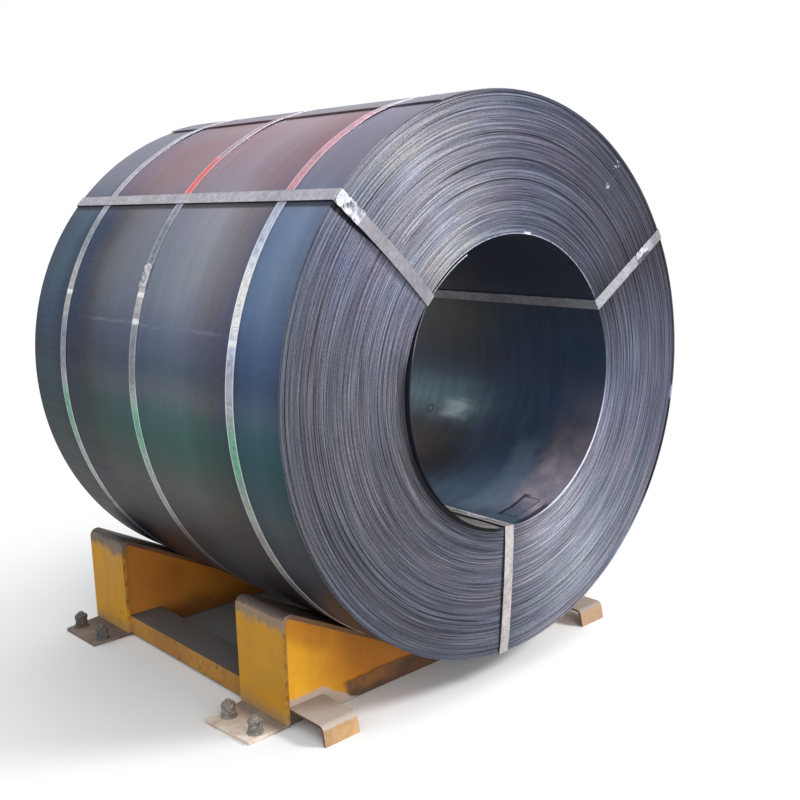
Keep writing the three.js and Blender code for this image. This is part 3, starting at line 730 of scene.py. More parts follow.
def paint_base(finish, dark, plain, light):
    """Clouded paint with chipped freckles of rust."""
    cloud = finish.noise(scale=4.5, detail=5, rough=0.6)
    base = cloud.ramp((0.3, dark), (0.5, plain), (0.72, light))
    runs = finish.noise(finish.mapped(scale=(26, 26, 1.6)))
    base = base.paint(runs.between(0.45, 0.75, 0.0, 0.25), 172, 132, 40)
    freckles = finish.noise(scale=75.0, rough=0.7)
    rust = freckles.between(0.6, 0.68) * cloud.between(0.42, 0.6)
    base = base.paint(rust * 0.7, 98, 58, 28)
    finish.rough(cloud.between(0.3, 0.7, 0.5, 0.75))
    finish.bump(freckles, 0.0006, 0.5)
    return base


def finish_saddle():
    """Posts and slopes: yellow paint, grey dust over the top bend and round the foot."""
    finish = Finish("saddle_paint", roughness=0.55, specular=0.4)
    base = paint_base(finish, tint(198, 142, 34), tint(216, 155, 37), tint(230, 172, 48))
    edge = finish.facing()[1].between(-0.85, -0.98)
    scale = finish.noise(scale=40.0, detail=5, rough=0.7).between(0.4, 0.62, 0.35, 0.9)
    base = base.paint(edge * scale, 128, 84, 44)
    ragged = finish.noise(scale=30.0, detail=5, rough=0.7)
    height = (ragged - 0.5).scaled(0.09, finish.z)
    top = height.between(0.238, 0.272)
    base = base.paint(top * 0.85, 140, 124, 114)
    sloping = abs(finish.x + CRADLE_LEFT).between(0.54, 0.52)
    base = base.paint(edge * sloping * 0.85, 98, 68, 46)
    base = base.paint(height.between(0.058, 0.0) * 0.7, 160, 138, 112)
    base = dusted(finish, base, tint(86, 75, 71), 0.95)
    # The far saddle's top darker: painted shade.
    farther = finish.y.between(0.3, 0.4) * top * 0.4
    finish.colour(base.paint(farther, 44, 40, 38))
    return finish.done()


def finish_near_web():
    """The near webs: strong orange yellow, browner towards the middle, and darker under the slope and
    towards the middle by painted shade.
    """
    finish = Finish("near_web_paint", roughness=0.5, specular=0.4)
    base = paint_base(finish, tint(242, 168, 34), tint(255, 190, 52), tint(255, 200, 72))
    x, z = finish.x, finish.z
    wander = finish.noise(scale=6.0) - 0.5
    middle = abs(x + CRADLE_LEFT)
    ochre = wander.scaled(0.2, middle).between(0.56, 0.3)
    base = base.paint(ochre * 0.85, 196, 120, 40)
    # Painted shade: darker towards the middle and up under the slope.
    reach = z.scaled(-0.9, middle + 0.09)
    base = base.tinted(wander.scaled(0.06, reach).shares(
        (0.22, 0.74, 0.68, 0.68), (0.27, 0.64, 0.58, 0.54), (0.32, 0.66, 0.6, 0.42),
        (0.37, 0.84, 0.8, 0.46), (0.43, 0.93, 0.94, 0.6), (0.5, 1.05, 1.06, 0.9),
    ))
    beneath = middle.scaled(SADDLE_SLOPE, 0.0025) - z
    shaded = wander.scaled(0.04, beneath).between(0.085, 0.045) * middle.between(0.39, 0.43)
    base = base.mix(shaded, base.tinted((0.76, 0.67, 0.62, 1)))
    height = wander.scaled(0.05, z)
    stained = wander.scaled(0.06, middle).between(0.376, 0.35)
    stain = height.between(0.056, 0.046) * stained
    clots = finish.noise(scale=18.0, rough=0.6).between(0.4, 0.62, 0.92, 0.55)
    base = base.paint(stain * clots, 88, 66, 54)
    deeper = z.between(0.03, 0.006).max(middle.between(0.22, 0.12))
    base = base.paint(stain * deeper * 0.55, 46, 38, 36)
    rim = height.band(0.05, 0.057, 0.003) * stained * 0.75
    base = base.paint(rim, 84, 48, 28)
    ragged = finish.noise(scale=26.0, detail=5, rough=0.7) - 0.5
    mound = (x + 0.487).max(0.0).scaled(0.6, ragged.scaled(0.03, z))
    base = base.paint(mound.between(0.073, 0.061, 0.0, 0.94), 190, 172, 160)
    # Painted shadow on the web under the clip's top.
    clip_shadow = z.between(0.043, 0.036) * x.between(-0.483, -0.492)
    base = base.paint(clip_shadow * 0.85, 60, 50, 44)
    finish.colour(dusted(finish, base, tint(150, 132, 116), 0.9))
    return finish.done()


def finish_far_web():
    """The far webs and bottom plates: the same paint, dustier, and darker by painted shade."""
    finish = Finish("shaded_paint", roughness=0.6, specular=0.3)
    base = paint_base(finish, tint(168, 104, 34), tint(186, 116, 40), tint(194, 126, 48))
    wander = finish.noise(scale=5.0) - 0.5
    # Lighter towards the middle by painted light; darker low down by painted shadow.
    base = base.times(abs(finish.x + CRADLE_LEFT).between(0.42, 0.26, 1.0, 1.5))
    low = wander.scaled(0.12, finish.z).between(0.09, 0.02)
    base = base.paint(low * 0.55, 74, 54, 42)
    finish.colour(dusted(finish, base, tint(108, 98, 92), 0.95))
    return finish.done()


def finish_beam():
    """The tie beams: yellow sides freckled with rust, tops grey with dust."""
    finish = Finish("beam_paint", roughness=0.6, specular=0.3)
    base = paint_base(finish, tint(160, 109, 46), tint(186, 132, 60), tint(204, 149, 76))
    freckles = finish.noise(scale=46.0, rough=0.7)
    spots = freckles.between(0.5, 0.66) * finish.y.band(-0.12, 0.2, 0.1)
    base = base.paint(spots * 0.5, 104, 72, 42)
    finish.colour(dusted(finish, base, tint(100, 96, 93), 1.0, first=0.2))
    return finish.done()


def finish_plate(name, dark, plain, light):
    """Bare dusty steel plate."""
    finish = Finish(name, roughness=0.85, specular=0.25)
    cloud = finish.noise(scale=11.0, detail=6, rough=0.65)
    base = cloud.ramp((0.3, dark), (0.5, plain), (0.7, light))
    specks = finish.noise(scale=120.0, detail=3).between(0.62, 0.7)
    base = base.paint(specks * 0.6, 96, 80, 66)
    grime = (cloud - 0.5).scaled(0.05, finish.x).band(-0.645, -0.5, 0.02)
    base = base.paint(grime * 0.75, 92, 80, 72)
    finish.colour(base)
    finish.bump(cloud, 0.0015, 0.4)
    return finish


def finish_clip():
    """The clips: dusty tops, tan and orange on the turned down face."""
    finish = finish_plate("clip_plate", tint(168, 152, 138), tint(184, 170, 156), tint(198, 184, 172))
    base = finish.noise(scale=24.0, detail=5, rough=0.6).looks(
        (0.3, 150, 128, 94), (0.45, 172, 136, 94), (0.66, 188, 152, 112),
    )
    base = base.times(finish.x.between(-0.59, -0.49, 0.84, 1.24))
    # Painted shade on faces turned to -x.
    base = base.paint(finish.facing()[0].between(-0.6, -0.9, 0.0, 0.85), 92, 72, 60)
    # The right clip darker: painted shade.
    farther = finish.x.between(0.0, 0.1, 0.0, 0.5)
    base = dusted(finish, base, tint(176, 163, 154), 1.0, first=0.2)
    finish.colour(base.paint(farther, 134, 118, 108))
    return finish.done()


def finish_bolt():
    """Weathered bolts, pale with mortar dust on top."""
    finish = Finish("weathered_bolt", roughness=0.7, metallic=0.3)
    cloud = finish.noise(scale=90.0, rough=0.6)
    base = cloud.looks((0.3, 74, 68, 62), (0.5, 128, 124, 118), (0.7, 168, 164, 158))
    base = dusted(finish, base, tint(178, 168, 156), 0.6)
    # The far bolts darker: painted shade.
    farther = finish.y.between(0.3, 0.45, 0.0, 0.62)
    finish.colour(base.paint(farther, 44, 41, 40))
    finish.bump(cloud, 0.0006, 0.5)
    return finish.done()


FINISHES = {}


def finishes():
    """Each finish is made once."""
    if not FINISHES:
        FINISHES.update(
            barrel=finish_barrel(),
            turns=finish_turns(),
            bore=finish_bore(),
            band=finish_band(),
            eye=finish_eye(),
            seal=finish_seal(),
            saddle=finish_saddle(),
            near_web=finish_near_web(),
            far_web=finish_far_web(),
            beam=finish_beam(),
            near_plate=finish_plate(
                "near_anchor_plate", tint(188, 168, 150), tint(228, 212, 196), tint(244, 234, 222)
            ).done(),
            # The far plates: the same finish darker, in painted shade.
            far_plate=finish_plate(
                "far_anchor_plate", tint(108, 97, 88), tint(137, 125, 115), tint(160, 147, 136)
            ).done(),
            clip=finish_clip(),
            bolt=finish_bolt(),
        )
    return FINISHES


# ======================================================================================
# Modelling helpers
# ======================================================================================
def select_none():
    active = bpy.context.view_layer.objects.active
    if active is not None and active.mode != "OBJECT":
        bpy.ops.object.mode_set(mode="OBJECT")
    bpy.ops.object.select_all(action="DESELECT")


def select_only(piece):
    select_none()
    piece.select_set(True)
    bpy.context.view_layer.objects.active = piece


def placed(piece, name, *materials):
    """Bakes the object's place into its mesh, names it and gives it its finishes."""
    select_only(piece)
    bpy.ops.object.transform_apply(location=True, rotation=True, scale=True)
    piece.name = name
    piece.data.name = name
    piece.data.materials.clear()
    for material in materials:
        piece.data.materials.append(material)
    return piece


def applied(piece, kind, **settings):
    """Adds a modifier and applies it."""
    select_only(piece)
    bpy.ops.object.modifier_add(type=kind)
    modifier = piece.modifiers[-1]
    for key, value in settings.items():
        setattr(modifier, key, value)
    bpy.ops.object.modifier_apply(modifier=modifier.name)
    return piece


def smoothed(piece, degrees=30):
    select_only(piece)
    bpy.ops.object.shade_smooth_by_angle(angle=math.radians(degrees))
    return piece


def drawn_line(points):
    """A line drawn corner by corner, ready in edit mode."""
    select_none()
    bpy.ops.mesh.primitive_plane_add(size=0.01, location=points[0])
    piece = bpy.context.object
    bpy.ops.object.transform_apply(location=True, rotation=True, scale=True)
    bpy.ops.object.mode_set(mode="EDIT")
    bpy.ops.mesh.select_all(action="SELECT")
    bpy.ops.mesh.merge(type="CENTER")
    for start, end in zip(points, points[1:]):
        bpy.ops.mesh.extrude_region_move(TRANSFORM_OT_translate={"value": end - start})
    return piece


def spun(points, steps, centre, axis):
    """A line turned all the way round an axis, closed and facing outwards."""
    piece = drawn_line(points)
    bpy.ops.mesh.select_all(action="SELECT")
    bpy.ops.mesh.spin(steps=steps, angle=2 * math.pi, center=centre, axis=axis)
    bpy.ops.mesh.select_all(action="SELECT")
    bpy.ops.mesh.remove_doubles(threshold=MERGE)
    bpy.ops.mesh.normals_make_consistent(inside=False)
    bpy.ops.object.mode_set(mode="OBJECT")
    return piece


def laid_sheet(around, across, place, thickness, closed=False):
    """A grid laid out by place(along, over), both 0 to 1, and thickened inwards."""
    select_none()
    bpy.ops.mesh.primitive_grid_add(x_subdivisions=around, y_subdivisions=across, size=2)
    sheet = bpy.context.object
    for corner in sheet.data.vertices:
        corner.co = place(corner.co.x / 2 + 0.5, corner.co.y / 2 + 0.5)
    if closed:
        bpy.ops.object.mode_set(mode="EDIT")
        bpy.ops.mesh.select_all(action="SELECT")
        bpy.ops.mesh.remove_doubles(threshold=MERGE)
        bpy.ops.object.mode_set(mode="OBJECT")
    applied(sheet, "SOLIDIFY", thickness=thickness, offset=-1)
    return sheet


def assign_where(piece, slot, wanted):
    """Gives a material slot to the faces that wanted(face) picks."""
    for face in piece.data.polygons:
        if wanted(face):
            face.material_index = slot


# ======================================================================================
# Settings
# ======================================================================================
def number(name, description, default, **kind):
    return bpy.props.FloatProperty(name=name, description=description, default=default, **kind)


class CoilSettings(bpy.types.PropertyGroup):
    bore_radius: number("Bore radius", "Radius of the eye", BORE_RADIUS, unit="LENGTH")
    relief: number("Turn relief", "How far turns lie back from the end face", 1.8 * MM, unit="LENGTH")
    groove: number("Groove depth", "Depth of the gap between laps", 2.2 * MM, unit="LENGTH")
    segments: bpy.props.IntProperty(
        name="Segments", description="Steps round the coil", default=200, min=48, max=256
    )


class StrapSettings(bpy.types.PropertyGroup):
    width: number("Width", "Width of the strapping", 32 * MM, unit="LENGTH")
    thickness: number("Thickness", "Thickness of the strapping", 1 * MM, unit="LENGTH")


class CradleSettings(bpy.types.PropertyGroup):
    edge: number("Edge rounding", "Rounding of plate edges", 1.5 * MM, unit="LENGTH")


class StageSettings(bpy.types.PropertyGroup):
    key_power: number("Key light", "Power of the key light", 200.0, unit="POWER")
    fill_power: number("Fill light", "Power of the low light in front", 78.0, unit="POWER")
    horizon: number("Horizon", "Strength of the soft light from the sides", 0.55, subtype="FACTOR")
    zenith: number("Zenith", "Strength of the soft light from above", 1.15, subtype="FACTOR")


# ======================================================================================
# Pieces
# ======================================================================================
class COIL_OT_turns(bpy.types.Operator):
    """The turned body of the coil, with the edges of its turns on both ends"""

    bl_idname = "coil.turns"
    bl_label = "Wound turns"

    def end_profile(self, coil, seed):
        """Places across an end face from the bore to the rim, as radius and set-back."""
        chance = random.Random(seed)
        points = []
        radius = coil.bore_radius
        rim = COIL_RADIUS - STRIP
        while radius < rim - 0.003:
            width = min(chance.choice((1, 1, 2, 2, 3)) * STRIP, rim - radius)
            back = coil.relief * chance.random() ** 1.5
            points.append((radius + 0.4 * MM, back))
            points.append((radius + width - 0.4 * MM, back))
            points.append((radius + width, back + coil.groove))
            radius += width
        return points

    def execute(self, context):
        coil = context.scene.coil_settings
        near = self.end_profile(coil, 3)
        far = self.end_profile(coil, 8)
        line = [(radius, back - HALF_WIDTH) for radius, back in near]
        line.append((COIL_RADIUS - 0.2 * MM, 0.8 * MM - HALF_WIDTH))
        line.append((COIL_RADIUS - 0.2 * MM, HALF_WIDTH - 0.8 * MM))
        line += [(radius, HALF_WIDTH - back) for radius, back in reversed(far)]
        line.append(line[0])
        points = [round_point(radius, 0, y) for radius, y in line]
        centre = Vector((0, COIL_Y, AXIS_Z))
        body = spun(points, coil.segments, centre, (0, 1, 0))
        looks = finishes()
        body = placed(body, "coil_turns", looks["turns"], looks["barrel"], looks["bore"])
        for corner in body.data.vertices:
            self.waver(corner)
        edge = COIL_RADIUS - 1.5 * MM
        assign_where(body, 1, lambda face: abs(face.normal.y) < 0.3 and self.reach(face) > edge)
        inside = coil.bore_radius + 0.001
        assign_where(body, 2, lambda face: abs(face.normal.y) < 0.3 and self.reach(face) < inside)
        smoothed(body)
        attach(body, "root")
        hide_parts("steel_coil")
        return {"FINISHED"}

    def reach(self, face):
        return math.hypot(face.center.x, face.center.z - AXIS_Z)

    def waver(self, corner):
        """Lets the turns wander a little in and out of the end faces."""
        x, z = corner.co.x, corner.co.z - AXIS_Z
        radius = math.hypot(x, z)
        side = -1 if corner.co.y < COIL_Y else 1
        drift = noise.noise(Vector((x / radius * 1.4, radius * 120, z / radius * 1.4 + 9 * side)))
        corner.co.y -= side * 1.6 * MM * max(0.0, drift)


class COIL_OT_outer_lap(bpy.types.Operator):
    """The outermost lap, from its tail on top round to where it runs under itself"""

    bl_idname = "coil.outer_lap"
    bl_label = "Outer lap"

    def execute(self, context):
        def place(along, over):
            degrees = TAIL_ANGLE - LAP_SPAN * along
            half = HALF_WIDTH - 1.2 * MM
            waver = noise.noise(Vector((degrees / 14, 4, 0))) * 0.5 * MM
            y = -half + waver + over * (2 * half - 2 * waver)
            radius = COIL_RADIUS + STRIP * (1 - 0.98 * along)
            sprung = ease((degrees - TAIL_ANGLE + 14) / 14)
            held = min(1.0, min(abs(y - strap) for strap in BAND_PLACES) / 0.11)
            return round_point(radius + 1.4 * MM * sprung * ease(held), degrees, y)

        lap = laid_sheet(276, 30, place, STRIP - 0.3 * MM)
        looks = finishes()
        lap = placed(lap, "outer_lap", looks["barrel"], looks["turns"])
        assign_where(lap, 1, lambda face: abs(face.normal.y) > 0.7)
        smoothed(lap)
        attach(lap, "root")
        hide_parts("steel_coil")
        return {"FINISHED"}


class COIL_OT_inner_lap(bpy.types.Operator):
    """The innermost lap, sprung loose of the bore between its cut end and the next turn"""

    bl_idname = "coil.inner_lap"
    bl_label = "Loose inner lap"

    def lift(self, degrees):
        share = (degrees - LOOSE_START) / (LOOSE_END - LOOSE_START)
        bulge = ease((share - 0.2) / 0.2) * (1 - ease((share - 0.5) / 0.3))
        pressed = 1 - ease(abs(degrees - 141.6) / 10)
        joined = ease((share - 0.7) / 0.3)
        free = 8 + 11 * bulge
        return (free - 3 * pressed - 9.2 * joined) * MM

    def execute(self, context):
        bore = context.scene.coil_settings.bore_radius

        def place(along, over):
            degrees = LOOSE_END - (LOOSE_END - LOOSE_START) * along
            half = HALF_WIDTH - 1.6 * MM
            settle = 1 - 0.35 * over
            radius = bore + (STRIP - self.lift(degrees)) * settle
            return round_point(radius, degrees, -half + 2 * half * over)

        lap = laid_sheet(90, 6, place, STRIP - 0.3 * MM)
        looks = finishes()
        lap = placed(lap, "inner_lap", looks["bore"], looks["turns"])
        assign_where(lap, 1, lambda face: abs(face.normal.y) > 0.7)
        smoothed(lap)
        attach(lap, "root")
        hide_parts("steel_coil")
        return {"FINISHED"}


# Length of the seals on the straps round the barrel.
BAND_SEAL_LENGTH = 0.062


class COIL_OT_band_straps(bpy.types.Operator):
    """The three straps round the barrel and their seals"""

    bl_idname = "coil.band_straps"
    bl_label = "Band straps"

    def band(self, index, middle, width, thickness):
        def place(along, over):
            degrees = 90 - 360 * along
            wander = noise.noise(Vector((math.cos(math.radians(degrees)) * 3, index * 5, 0))) * MM
            lift = 1.5 * MM - 0.25 * MM * (2 * over - 1) ** 2
            y = middle + wander + (over - 0.5) * width
            return round_point(barrel_radius(degrees) + lift, degrees, y)

        name = f"band_strap_{index}"
        strap = laid_sheet(288, 4, place, thickness * 0.8, closed=True)
        strap = placed(strap, f"band_{index}", finishes()["band"])
        smoothed(strap, 40)
        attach(strap, "root")
        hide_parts(name)

    def seal(self, index):
        low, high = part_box(f"band_strap_seal_{index}")
        middle = (low + high) / 2
        centre = math.degrees(math.atan2(middle.z - AXIS_Z, middle.x))
        reach = math.degrees(BAND_SEAL_LENGTH / COIL_RADIUS)
        half = (high.y - low.y) / 2

        def place(along, over):
            degrees = centre + reach * (0.5 - along)
            pinch = crimp(along)
            rise = 3.25 * MM - 0.7 * MM * pinch * (2 * over - 1) ** 2
            y = middle.y - COIL_Y + (2 * over - 1) * half * (1 - 0.14 * pinch)
            return round_point(barrel_radius(degrees) + rise, degrees, y)

        seal = laid_sheet(32, 12, place, 1.0 * MM)
        seal = placed(seal, f"band_seal_{index}", finishes()["seal"])
        smoothed(seal, 35)
        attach(seal, "root")
        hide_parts(f"band_strap_seal_{index}")

    def execute(self, context):
        strap = context.scene.strap_settings
        for index in (1, 2, 3):
            low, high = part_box(f"band_strap_{index}")
            self.band(index, (low.y + high.y) / 2 - COIL_Y, strap.width, strap.thickness)
            self.seal(index)
        return {"FINISHED"}


def crimp(along):
    """How much a seal is pinched at a place along it: two notches."""
    return max(math.exp(-(((along - notch) / 0.05) ** 2)) for notch in (0.3, 0.7))


# Straps through the eye: number, angle at the rim, lean off the radius, and bow off the near end.
EYE_STRAPS = ((1, 139.6, -2.2, 0.011), (2, 30.5, 2.4, 0.0), (3, -94.2, 0.0, 0.004))
# Their seals: length in millimetres, and half the width.
EYE_SEAL_LENGTHS = {1: 76, 2: 58, 3: 76}
EYE_SEAL_HALF = 17.5 * MM


class COIL_OT_eye_straps(bpy.types.Operator):
    """The three straps through the eye and their seals"""

    bl_idname = "coil.eye_straps"
    bl_label = "Eye straps"

    def lie(self, index, angle, lean, bow, strap):
        """Where a strap lies: its rim corner, directions, bow and depth through the wall."""
        turn = math.radians(angle + lean)
        out = Vector((math.cos(turn), 0, math.sin(turn)))
        across = Vector((-math.sin(turn), 0, math.cos(turn)))
        reach = barrel_radius(angle) + 1.8 * MM + 16 * MM * math.sin(math.radians(abs(lean)))
        rim = round_point(reach, angle, 0) - Vector((0, COIL_Y, 0))
        low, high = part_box(f"eye_strap_{index}")
        corners = [Vector((x, 0, z)) for x in (low.x, high.x) for z in (low.z, high.z)]
        deepest = min((corner - rim).dot(out) for corner in corners)
        slant = abs(out.x * across.x) * strap.width
        return {"rim": rim, "out": out, "across": across, "bow": bow, "wall": -deepest - slant - 1 * MM}

    def bowed(self, lie, a):
        """How far the strap stands off its flat line, a in from the rim corner."""
        share = min(1, max(0, -a / lie["wall"]))
        return 4 * lie["bow"] * share * (1 - share)

    def loop(self, lie):
        """The strap's outside, as places out from the rim corner and along the axis."""
        t = 1.0 * MM
        half = HALF_WIDTH + 0.3 * MM
        wall = lie["wall"]
        corners = [(t, half), (t, -half), (-wall - t, -half), (-wall - t, half)]
        steps = (44, 36, 44, 30)
        points = []
        for side, (start, end) in enumerate(zip(corners, corners[1:] + corners[:1])):
            for i in range(steps[side]):
                share = i / steps[side]
                a = start[0] + (end[0] - start[0]) * share
                y = start[1] + (end[1] - start[1]) * share
                lift = t * min(1, 10 * min(share, 1 - share))
                if side == 1:
                    y -= lift + self.bowed(lie, a)
                if side == 3:
                    y += lift
                points.append((a, y))
        points.append(points[0])
        return points

    def strap(self, index, lie, strap):
        points = self.loop(lie)
        last = len(points) - 1

        def place(along, over):
            a, y = points[round(along * last)]
            spot = lie["rim"] + lie["out"] * a + lie["across"] * ((0.5 - over) * strap.width)
            return Vector((spot.x, COIL_Y + y, spot.z))

        band = laid_sheet(last, 2, place, strap.thickness * 0.9, closed=True)
        band = placed(band, f"eye_{index}", finishes()["eye"])
        smoothed(band, 40)
        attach(band, "root")
        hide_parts(f"eye_strap_{index}")

    def seal(self, index, lie):
        low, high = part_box(f"eye_strap_seal_{index}")
        middle = (low + high) / 2
        face = -1 if middle.y < COIL_Y else 1
        inset = (Vector((middle.x, 0, middle.z)) - lie["rim"]).dot(lie["out"])
        length = EYE_SEAL_LENGTHS[index] * MM
        stand = HALF_WIDTH + 2.8 * MM

        def place(along, over):
            pinch = crimp(along)
            a = inset - face * (along - 0.5) * length
            side = (2 * over - 1) * EYE_SEAL_HALF * (1 - 0.16 * pinch)
            spot = lie["rim"] + lie["out"] * a + lie["across"] * side
            sink = 0.7 * MM * pinch * (2 * over - 1) ** 2 + 0.4 * MM * pinch
            y = stand - sink + (self.bowed(lie, a) if face < 0 else 0)
            return Vector((spot.x, COIL_Y + face * y, spot.z))

        seal = laid_sheet(36, 12, place, 1.0 * MM)
        seal = placed(seal, f"eye_seal_{index}", finishes()["seal"])
        smoothed(seal, 35)
        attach(seal, "root")
        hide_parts(f"eye_strap_seal_{index}")

    def execute(self, context):
        strap = context.scene.strap_settings
        for index, angle, lean, bow in EYE_STRAPS:
            lie = self.lie(index, angle, lean, bow, strap)
            self.strap(index, lie, strap)
            self.seal(index, lie)
        return {"FINISHED"}


# Width of the nuts from flat to flat.
ACROSS_FLATS = 32 * MM


class COIL_OT_bolts(bpy.types.Operator):
    """Anchor bolts: a threaded stud, a washer and a chamfered nut, modelled once and copied"""

    bl_idname = "coil.bolts"
    bl_label = "Anchor bolts"

    def stud(self, length):
        pitch = 2.5 * MM
        crest = 10 * MM
        root = 8.7 * MM
        points = [Vector((0.0001, 0, 0)), Vector((root, 0, 0))]
        turns = int(length / pitch) - 1
        for i in range(turns):
            points.append(Vector((crest, 0, (i + 0.5) * pitch)))
            points.append(Vector((root, 0, (i + 1) * pitch)))
        points.append(Vector((root - 1 * MM, 0, length)))
        points.append(Vector((0.0001, 0, length)))
        return spun(points, 20, (0, 0, 0), (0, 0, 1))

    def hexagon(self, bottom, height, turn):
        """A hexagon nut with its corners turned off at both ends."""
        select_none()
        middle = (0, 0, bottom + height / 2)
        radius = ACROSS_FLATS / math.sqrt(3)
        bpy.ops.mesh.primitive_cylinder_add(vertices=6, radius=radius, depth=height, location=middle)
        bpy.context.object.rotation_euler.z = turn
        nut = placed(bpy.context.object, "nut")
        select_none()
        bpy.ops.mesh.primitive_cylinder_add(
            vertices=32, radius=radius - 0.2 * MM, depth=height, location=middle
        )
        turned = placed(bpy.context.object, "turned")
        applied(turned, "BEVEL", width=2.4 * MM, segments=1)
        applied(nut, "BOOLEAN", operation="INTERSECT", object=turned, solver="EXACT")
        bpy.data.objects.remove(turned)
        return nut

    def nut(self):
        """Washer, nut and lock nut as one piece."""
        thick = 4 * MM
        parts = [self.hexagon(thick, 18 * MM, 0.0), self.hexagon(22 * MM, 13.8 * MM, 0.42)]
        select_none()
        bpy.ops.mesh.primitive_cylinder_add(
            vertices=40, radius=20.8 * MM, depth=thick, location=(0, 0, thick / 2)
        )
        washer = placed(bpy.context.object, "washer")
        applied(washer, "BEVEL", width=0.8 * MM, segments=2)
        for part in parts:
            part.select_set(True)
        bpy.ops.object.join()
        return washer

    def copied(self, model, name, node, turn):
        low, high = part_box(node)
        piece = model.copy()
        piece.data = model.data.copy()
        bpy.context.collection.objects.link(piece)
        piece.rotation_euler.z = turn
        piece.location = ((low.x + high.x) / 2, (low.y + high.y) / 2, low.z)
        placed(piece, name, finishes()["bolt"])
        smoothed(piece, 35)
        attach(piece, "root")
        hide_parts(node)

    def execute(self, context):
        low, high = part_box("near_bolt_left_a_stud")
        stud = self.stud(high.z - low.z)
        nut = self.nut()
        chance = random.Random(11)
        for end in ("near", "far"):
            for side in ("left", "right"):
                for letter in ("a", "b"):
                    name = f"{end}_bolt_{side}_{letter}"
                    turn = chance.uniform(0, math.pi)
                    for model, kind in ((stud, "stud"), (nut, "nut")):
                        self.copied(model, f"{end}_{side}_{kind}_{letter}", f"{name}_{kind}", turn)
        for model in (stud, nut):
            bpy.data.objects.remove(model)
        return {"FINISHED"}


class COIL_OT_cradle(bpy.types.Operator):
    """Softened edges and finishes of the cradle's plates"""

    bl_idname = "coil.cradle"
    bl_label = "Cradle finishes"

    def look_of(self, name):
        if "anchor" in name:
            return "near_plate" if name.startswith("near") else "far_plate"
        if "clip" in name:
            return "clip"
        if "beam" in name:
            return "beam"
        if "saddle" in name:
            return "saddle"
        return "near_web" if name.startswith("near_front_web") else "far_web"

    def execute(self, context):
        looks = finishes()
        edge = context.scene.cradle_settings.edge
        for name, node in NODES.items():
            if node.hide_render:
                continue
            node.data.materials.clear()
            node.data.materials.append(looks[self.look_of(name)])
            weld = node.modifiers.new("joined", "WELD")
            weld.merge_threshold = 0.05 * MM
            bevel = node.modifiers.new("edges", "BEVEL")
            bevel.width = edge
            bevel.segments = 2
            bevel.limit_method = "ANGLE"
            bevel.angle_limit = math.radians(35)
        return {"FINISHED"}


# Where the camera stands; its heading, pitch and roll in radians; its lens and shift.
CAMERA_PLACE = (-1.87977, -2.34075, 1.23905)
CAMERA_TURN = (0.811, -0.19734, -0.00602)
CAMERA_LENS = 44.98
CAMERA_SHIFT = (-0.125, 0.01875)
# Lamps: where they stand, what they point at, and how wide they are.
LAMPS = (
    ("key", (2.3, -3.9, 3.3), (0, -0.5, 0.6), 1.3),
    ("fill", (-1.4, -4.2, 0.95), (-0.2, 0, 0.35), 2.4),
)
# The shaded part of the floor: its middle along the coil, and half its width and length.
SHADE_Y = 0.11
SHADE_HALF = (0.42, 0.44)


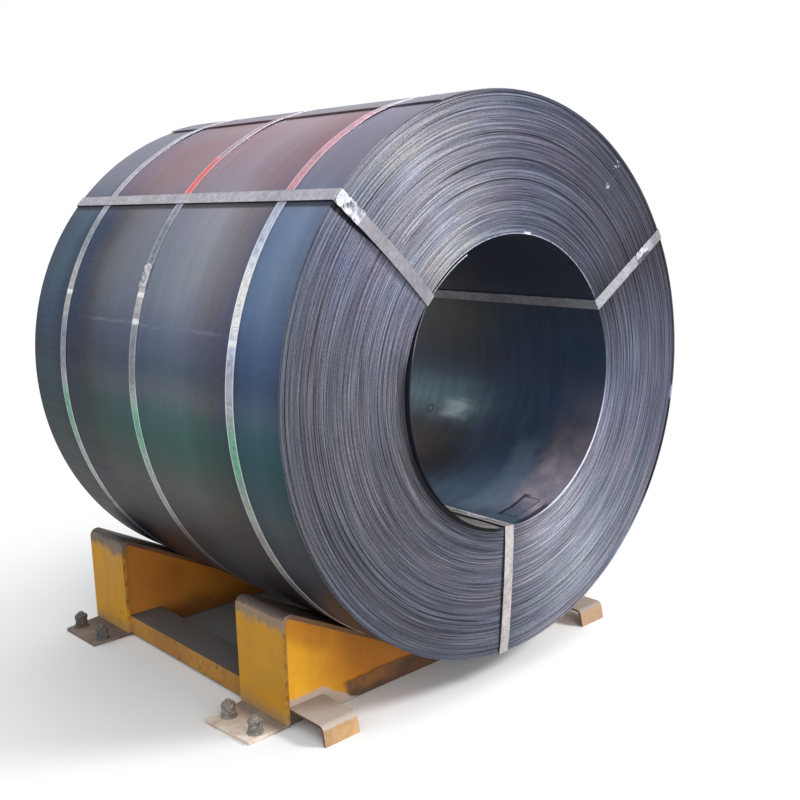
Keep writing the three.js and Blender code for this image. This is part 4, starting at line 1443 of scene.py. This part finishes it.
class COIL_OT_stage(bpy.types.Operator):
    """Floor, soft light and camera"""

    bl_idname = "coil.stage"
    bl_label = "Stage"

    def blended(self, tree, share, first, second):
        return tree.add("ShaderNodeMixShader", {0: share, 1: first, 2: second})

    def shown(self, tree, first, second, output):
        """Lights with first, and shows second to the camera, in gloss and through glass."""
        rays = ("Is Camera Ray", "Is Glossy Ray", "Is Transmission Ray")
        camera, gloss, glass = tree.add("ShaderNodeLightPath", {}, output=rays)
        surface = self.blended(tree, camera.max(gloss).max(glass), first, second)
        tree.feed(tree.nodes[output], {"Surface": surface})

    def inside(self, finish):
        """The floor's lightness: pale, but darker between the cradle's beams and frames."""
        half_x, half_y = SHADE_HALF
        beyond = (abs(finish.x + CRADLE_LEFT) - half_x).max(abs(finish.y - SHADE_Y) - half_y)
        limits = {"Value": beyond, "From Max": 0.06, "To Min": 0.3, "To Max": 0.9}
        return finish.add("ShaderNodeMapRange", limits)

    def floor(self):
        select_none()
        bpy.ops.mesh.primitive_circle_add(vertices=96, radius=40, fill_type="NGON")
        floor = bpy.context.object
        floor.name = "studio_floor"
        pale = Finish("pale_floor", roughness=1.0, specular=0.0)
        pale.colour(self.inside(pale))
        dim = pale.add("ShaderNodeBsdfDiffuse", {"Color": (0.3, 0.28, 0.26, 1)})
        glow = pale.add("ShaderNodeEmission", {"Color": (1, 1, 1, 1)})
        away = pale.add("ShaderNodeVectorMath", {0: pale.object}, output="Value", operation="LENGTH")
        near = Value(pale, pale.shader.outputs[0])
        fading = self.blended(pale, away.between(0.8, 1.8), near, glow)
        self.shown(pale, dim, fading, "Material Output")
        floor.data.materials.append(pale.done())

    def world(self, low, high):
        """White to look at; the light itself is stronger from above than from the sides."""
        world = bpy.data.worlds.new("studio")
        bpy.context.scene.world = world
        tree = Tree(world)
        lit = tree.nodes["Background"]
        way = tree.add("ShaderNodeTexCoord", {}, output="Generated")
        rise = tree.add("ShaderNodeMapRange", {"Value": way.split()[2], "To Min": low, "To Max": high})
        tree.feed(lit, {"Color": (0.95, 0.975, 1.0, 1), "Strength": rise})
        white = tree.add("ShaderNodeBackground", {"Color": (1, 1, 1, 1)})
        self.shown(tree, Value(tree, lit.outputs[0]), white, "World Output")

    def light(self, name, place, target, power, size):
        data = bpy.data.lights.new(name, "AREA")
        data.energy = power
        data.shape = "DISK"
        data.size = size
        lamp = bpy.data.objects.new(name, data)
        lamp.location = place
        lamp.rotation_euler = (Vector(target) - Vector(place)).to_track_quat("-Z", "Y").to_euler()
        bpy.context.collection.objects.link(lamp)

    def camera(self):
        """Stands to the left in front, a little over the coil's axis."""
        yaw, pitch, roll = CAMERA_TURN
        flat = math.cos(pitch)
        forward = Vector((math.sin(yaw) * flat, math.cos(yaw) * flat, math.sin(pitch)))
        level = Vector((math.cos(yaw), -math.sin(yaw), 0))
        rise = level.cross(forward)
        right = math.cos(roll) * level + math.sin(roll) * rise
        up = -math.sin(roll) * level + math.cos(roll) * rise
        data = bpy.data.cameras.new("camera")
        data.lens = CAMERA_LENS
        data.sensor_width = 36
        data.shift_x, data.shift_y = CAMERA_SHIFT
        data.clip_end = 200
        camera = bpy.data.objects.new("camera", data)
        turned = Matrix((right, up, -forward)).transposed().to_4x4()
        camera.matrix_world = Matrix.Translation(CAMERA_PLACE) @ turned
        bpy.context.collection.objects.link(camera)
        bpy.context.scene.camera = camera

    def execute(self, context):
        stage = context.scene.stage_settings
        self.floor()
        self.world(stage.horizon, stage.zenith)
        for name, place, target, size in LAMPS:
            self.light(name, place, target, getattr(stage, f"{name}_power"), size)
        self.camera()
        context.scene.view_settings.view_transform = "Standard"
        return {"FINISHED"}


class COIL_PT_panel(bpy.types.Panel):
    bl_idname = "COIL_PT_panel"
    bl_label = "Steel Coil"
    bl_space_type = "VIEW_3D"
    bl_region_type = "UI"
    bl_category = "Steel Coil"

    def draw(self, context):
        scene = context.scene
        for group in GROUPS:
            settings = getattr(scene, group)
            box = self.layout.box()
            for name in settings.__annotations__:
                box.prop(settings, name)
        for operator in OPERATORS:
            self.layout.operator(operator.bl_idname)


OPERATORS = (
    COIL_OT_turns,
    COIL_OT_outer_lap,
    COIL_OT_inner_lap,
    COIL_OT_band_straps,
    COIL_OT_eye_straps,
    COIL_OT_bolts,
    COIL_OT_cradle,
    COIL_OT_stage,
)
GROUPS = {
    "coil_settings": CoilSettings,
    "strap_settings": StrapSettings,
    "cradle_settings": CradleSettings,
    "stage_settings": StageSettings,
}


def register():
    for kind in (*GROUPS.values(), *OPERATORS, COIL_PT_panel):
        bpy.utils.register_class(kind)
    for name, kind in GROUPS.items():
        setattr(bpy.types.Scene, name, bpy.props.PointerProperty(type=kind))


def unregister():
    for name in GROUPS:
        delattr(bpy.types.Scene, name)
    for kind in reversed((*GROUPS.values(), *OPERATORS, COIL_PT_panel)):
        bpy.utils.unregister_class(kind)


def main():
    register()
    bpy.ops.coil.turns()
    bpy.ops.coil.outer_lap()
    bpy.ops.coil.inner_lap()
    bpy.ops.coil.band_straps()
    bpy.ops.coil.eye_straps()
    bpy.ops.coil.bolts()
    bpy.ops.coil.cradle()
    bpy.ops.coil.stage()


if __name__ == "__main__":
    main()
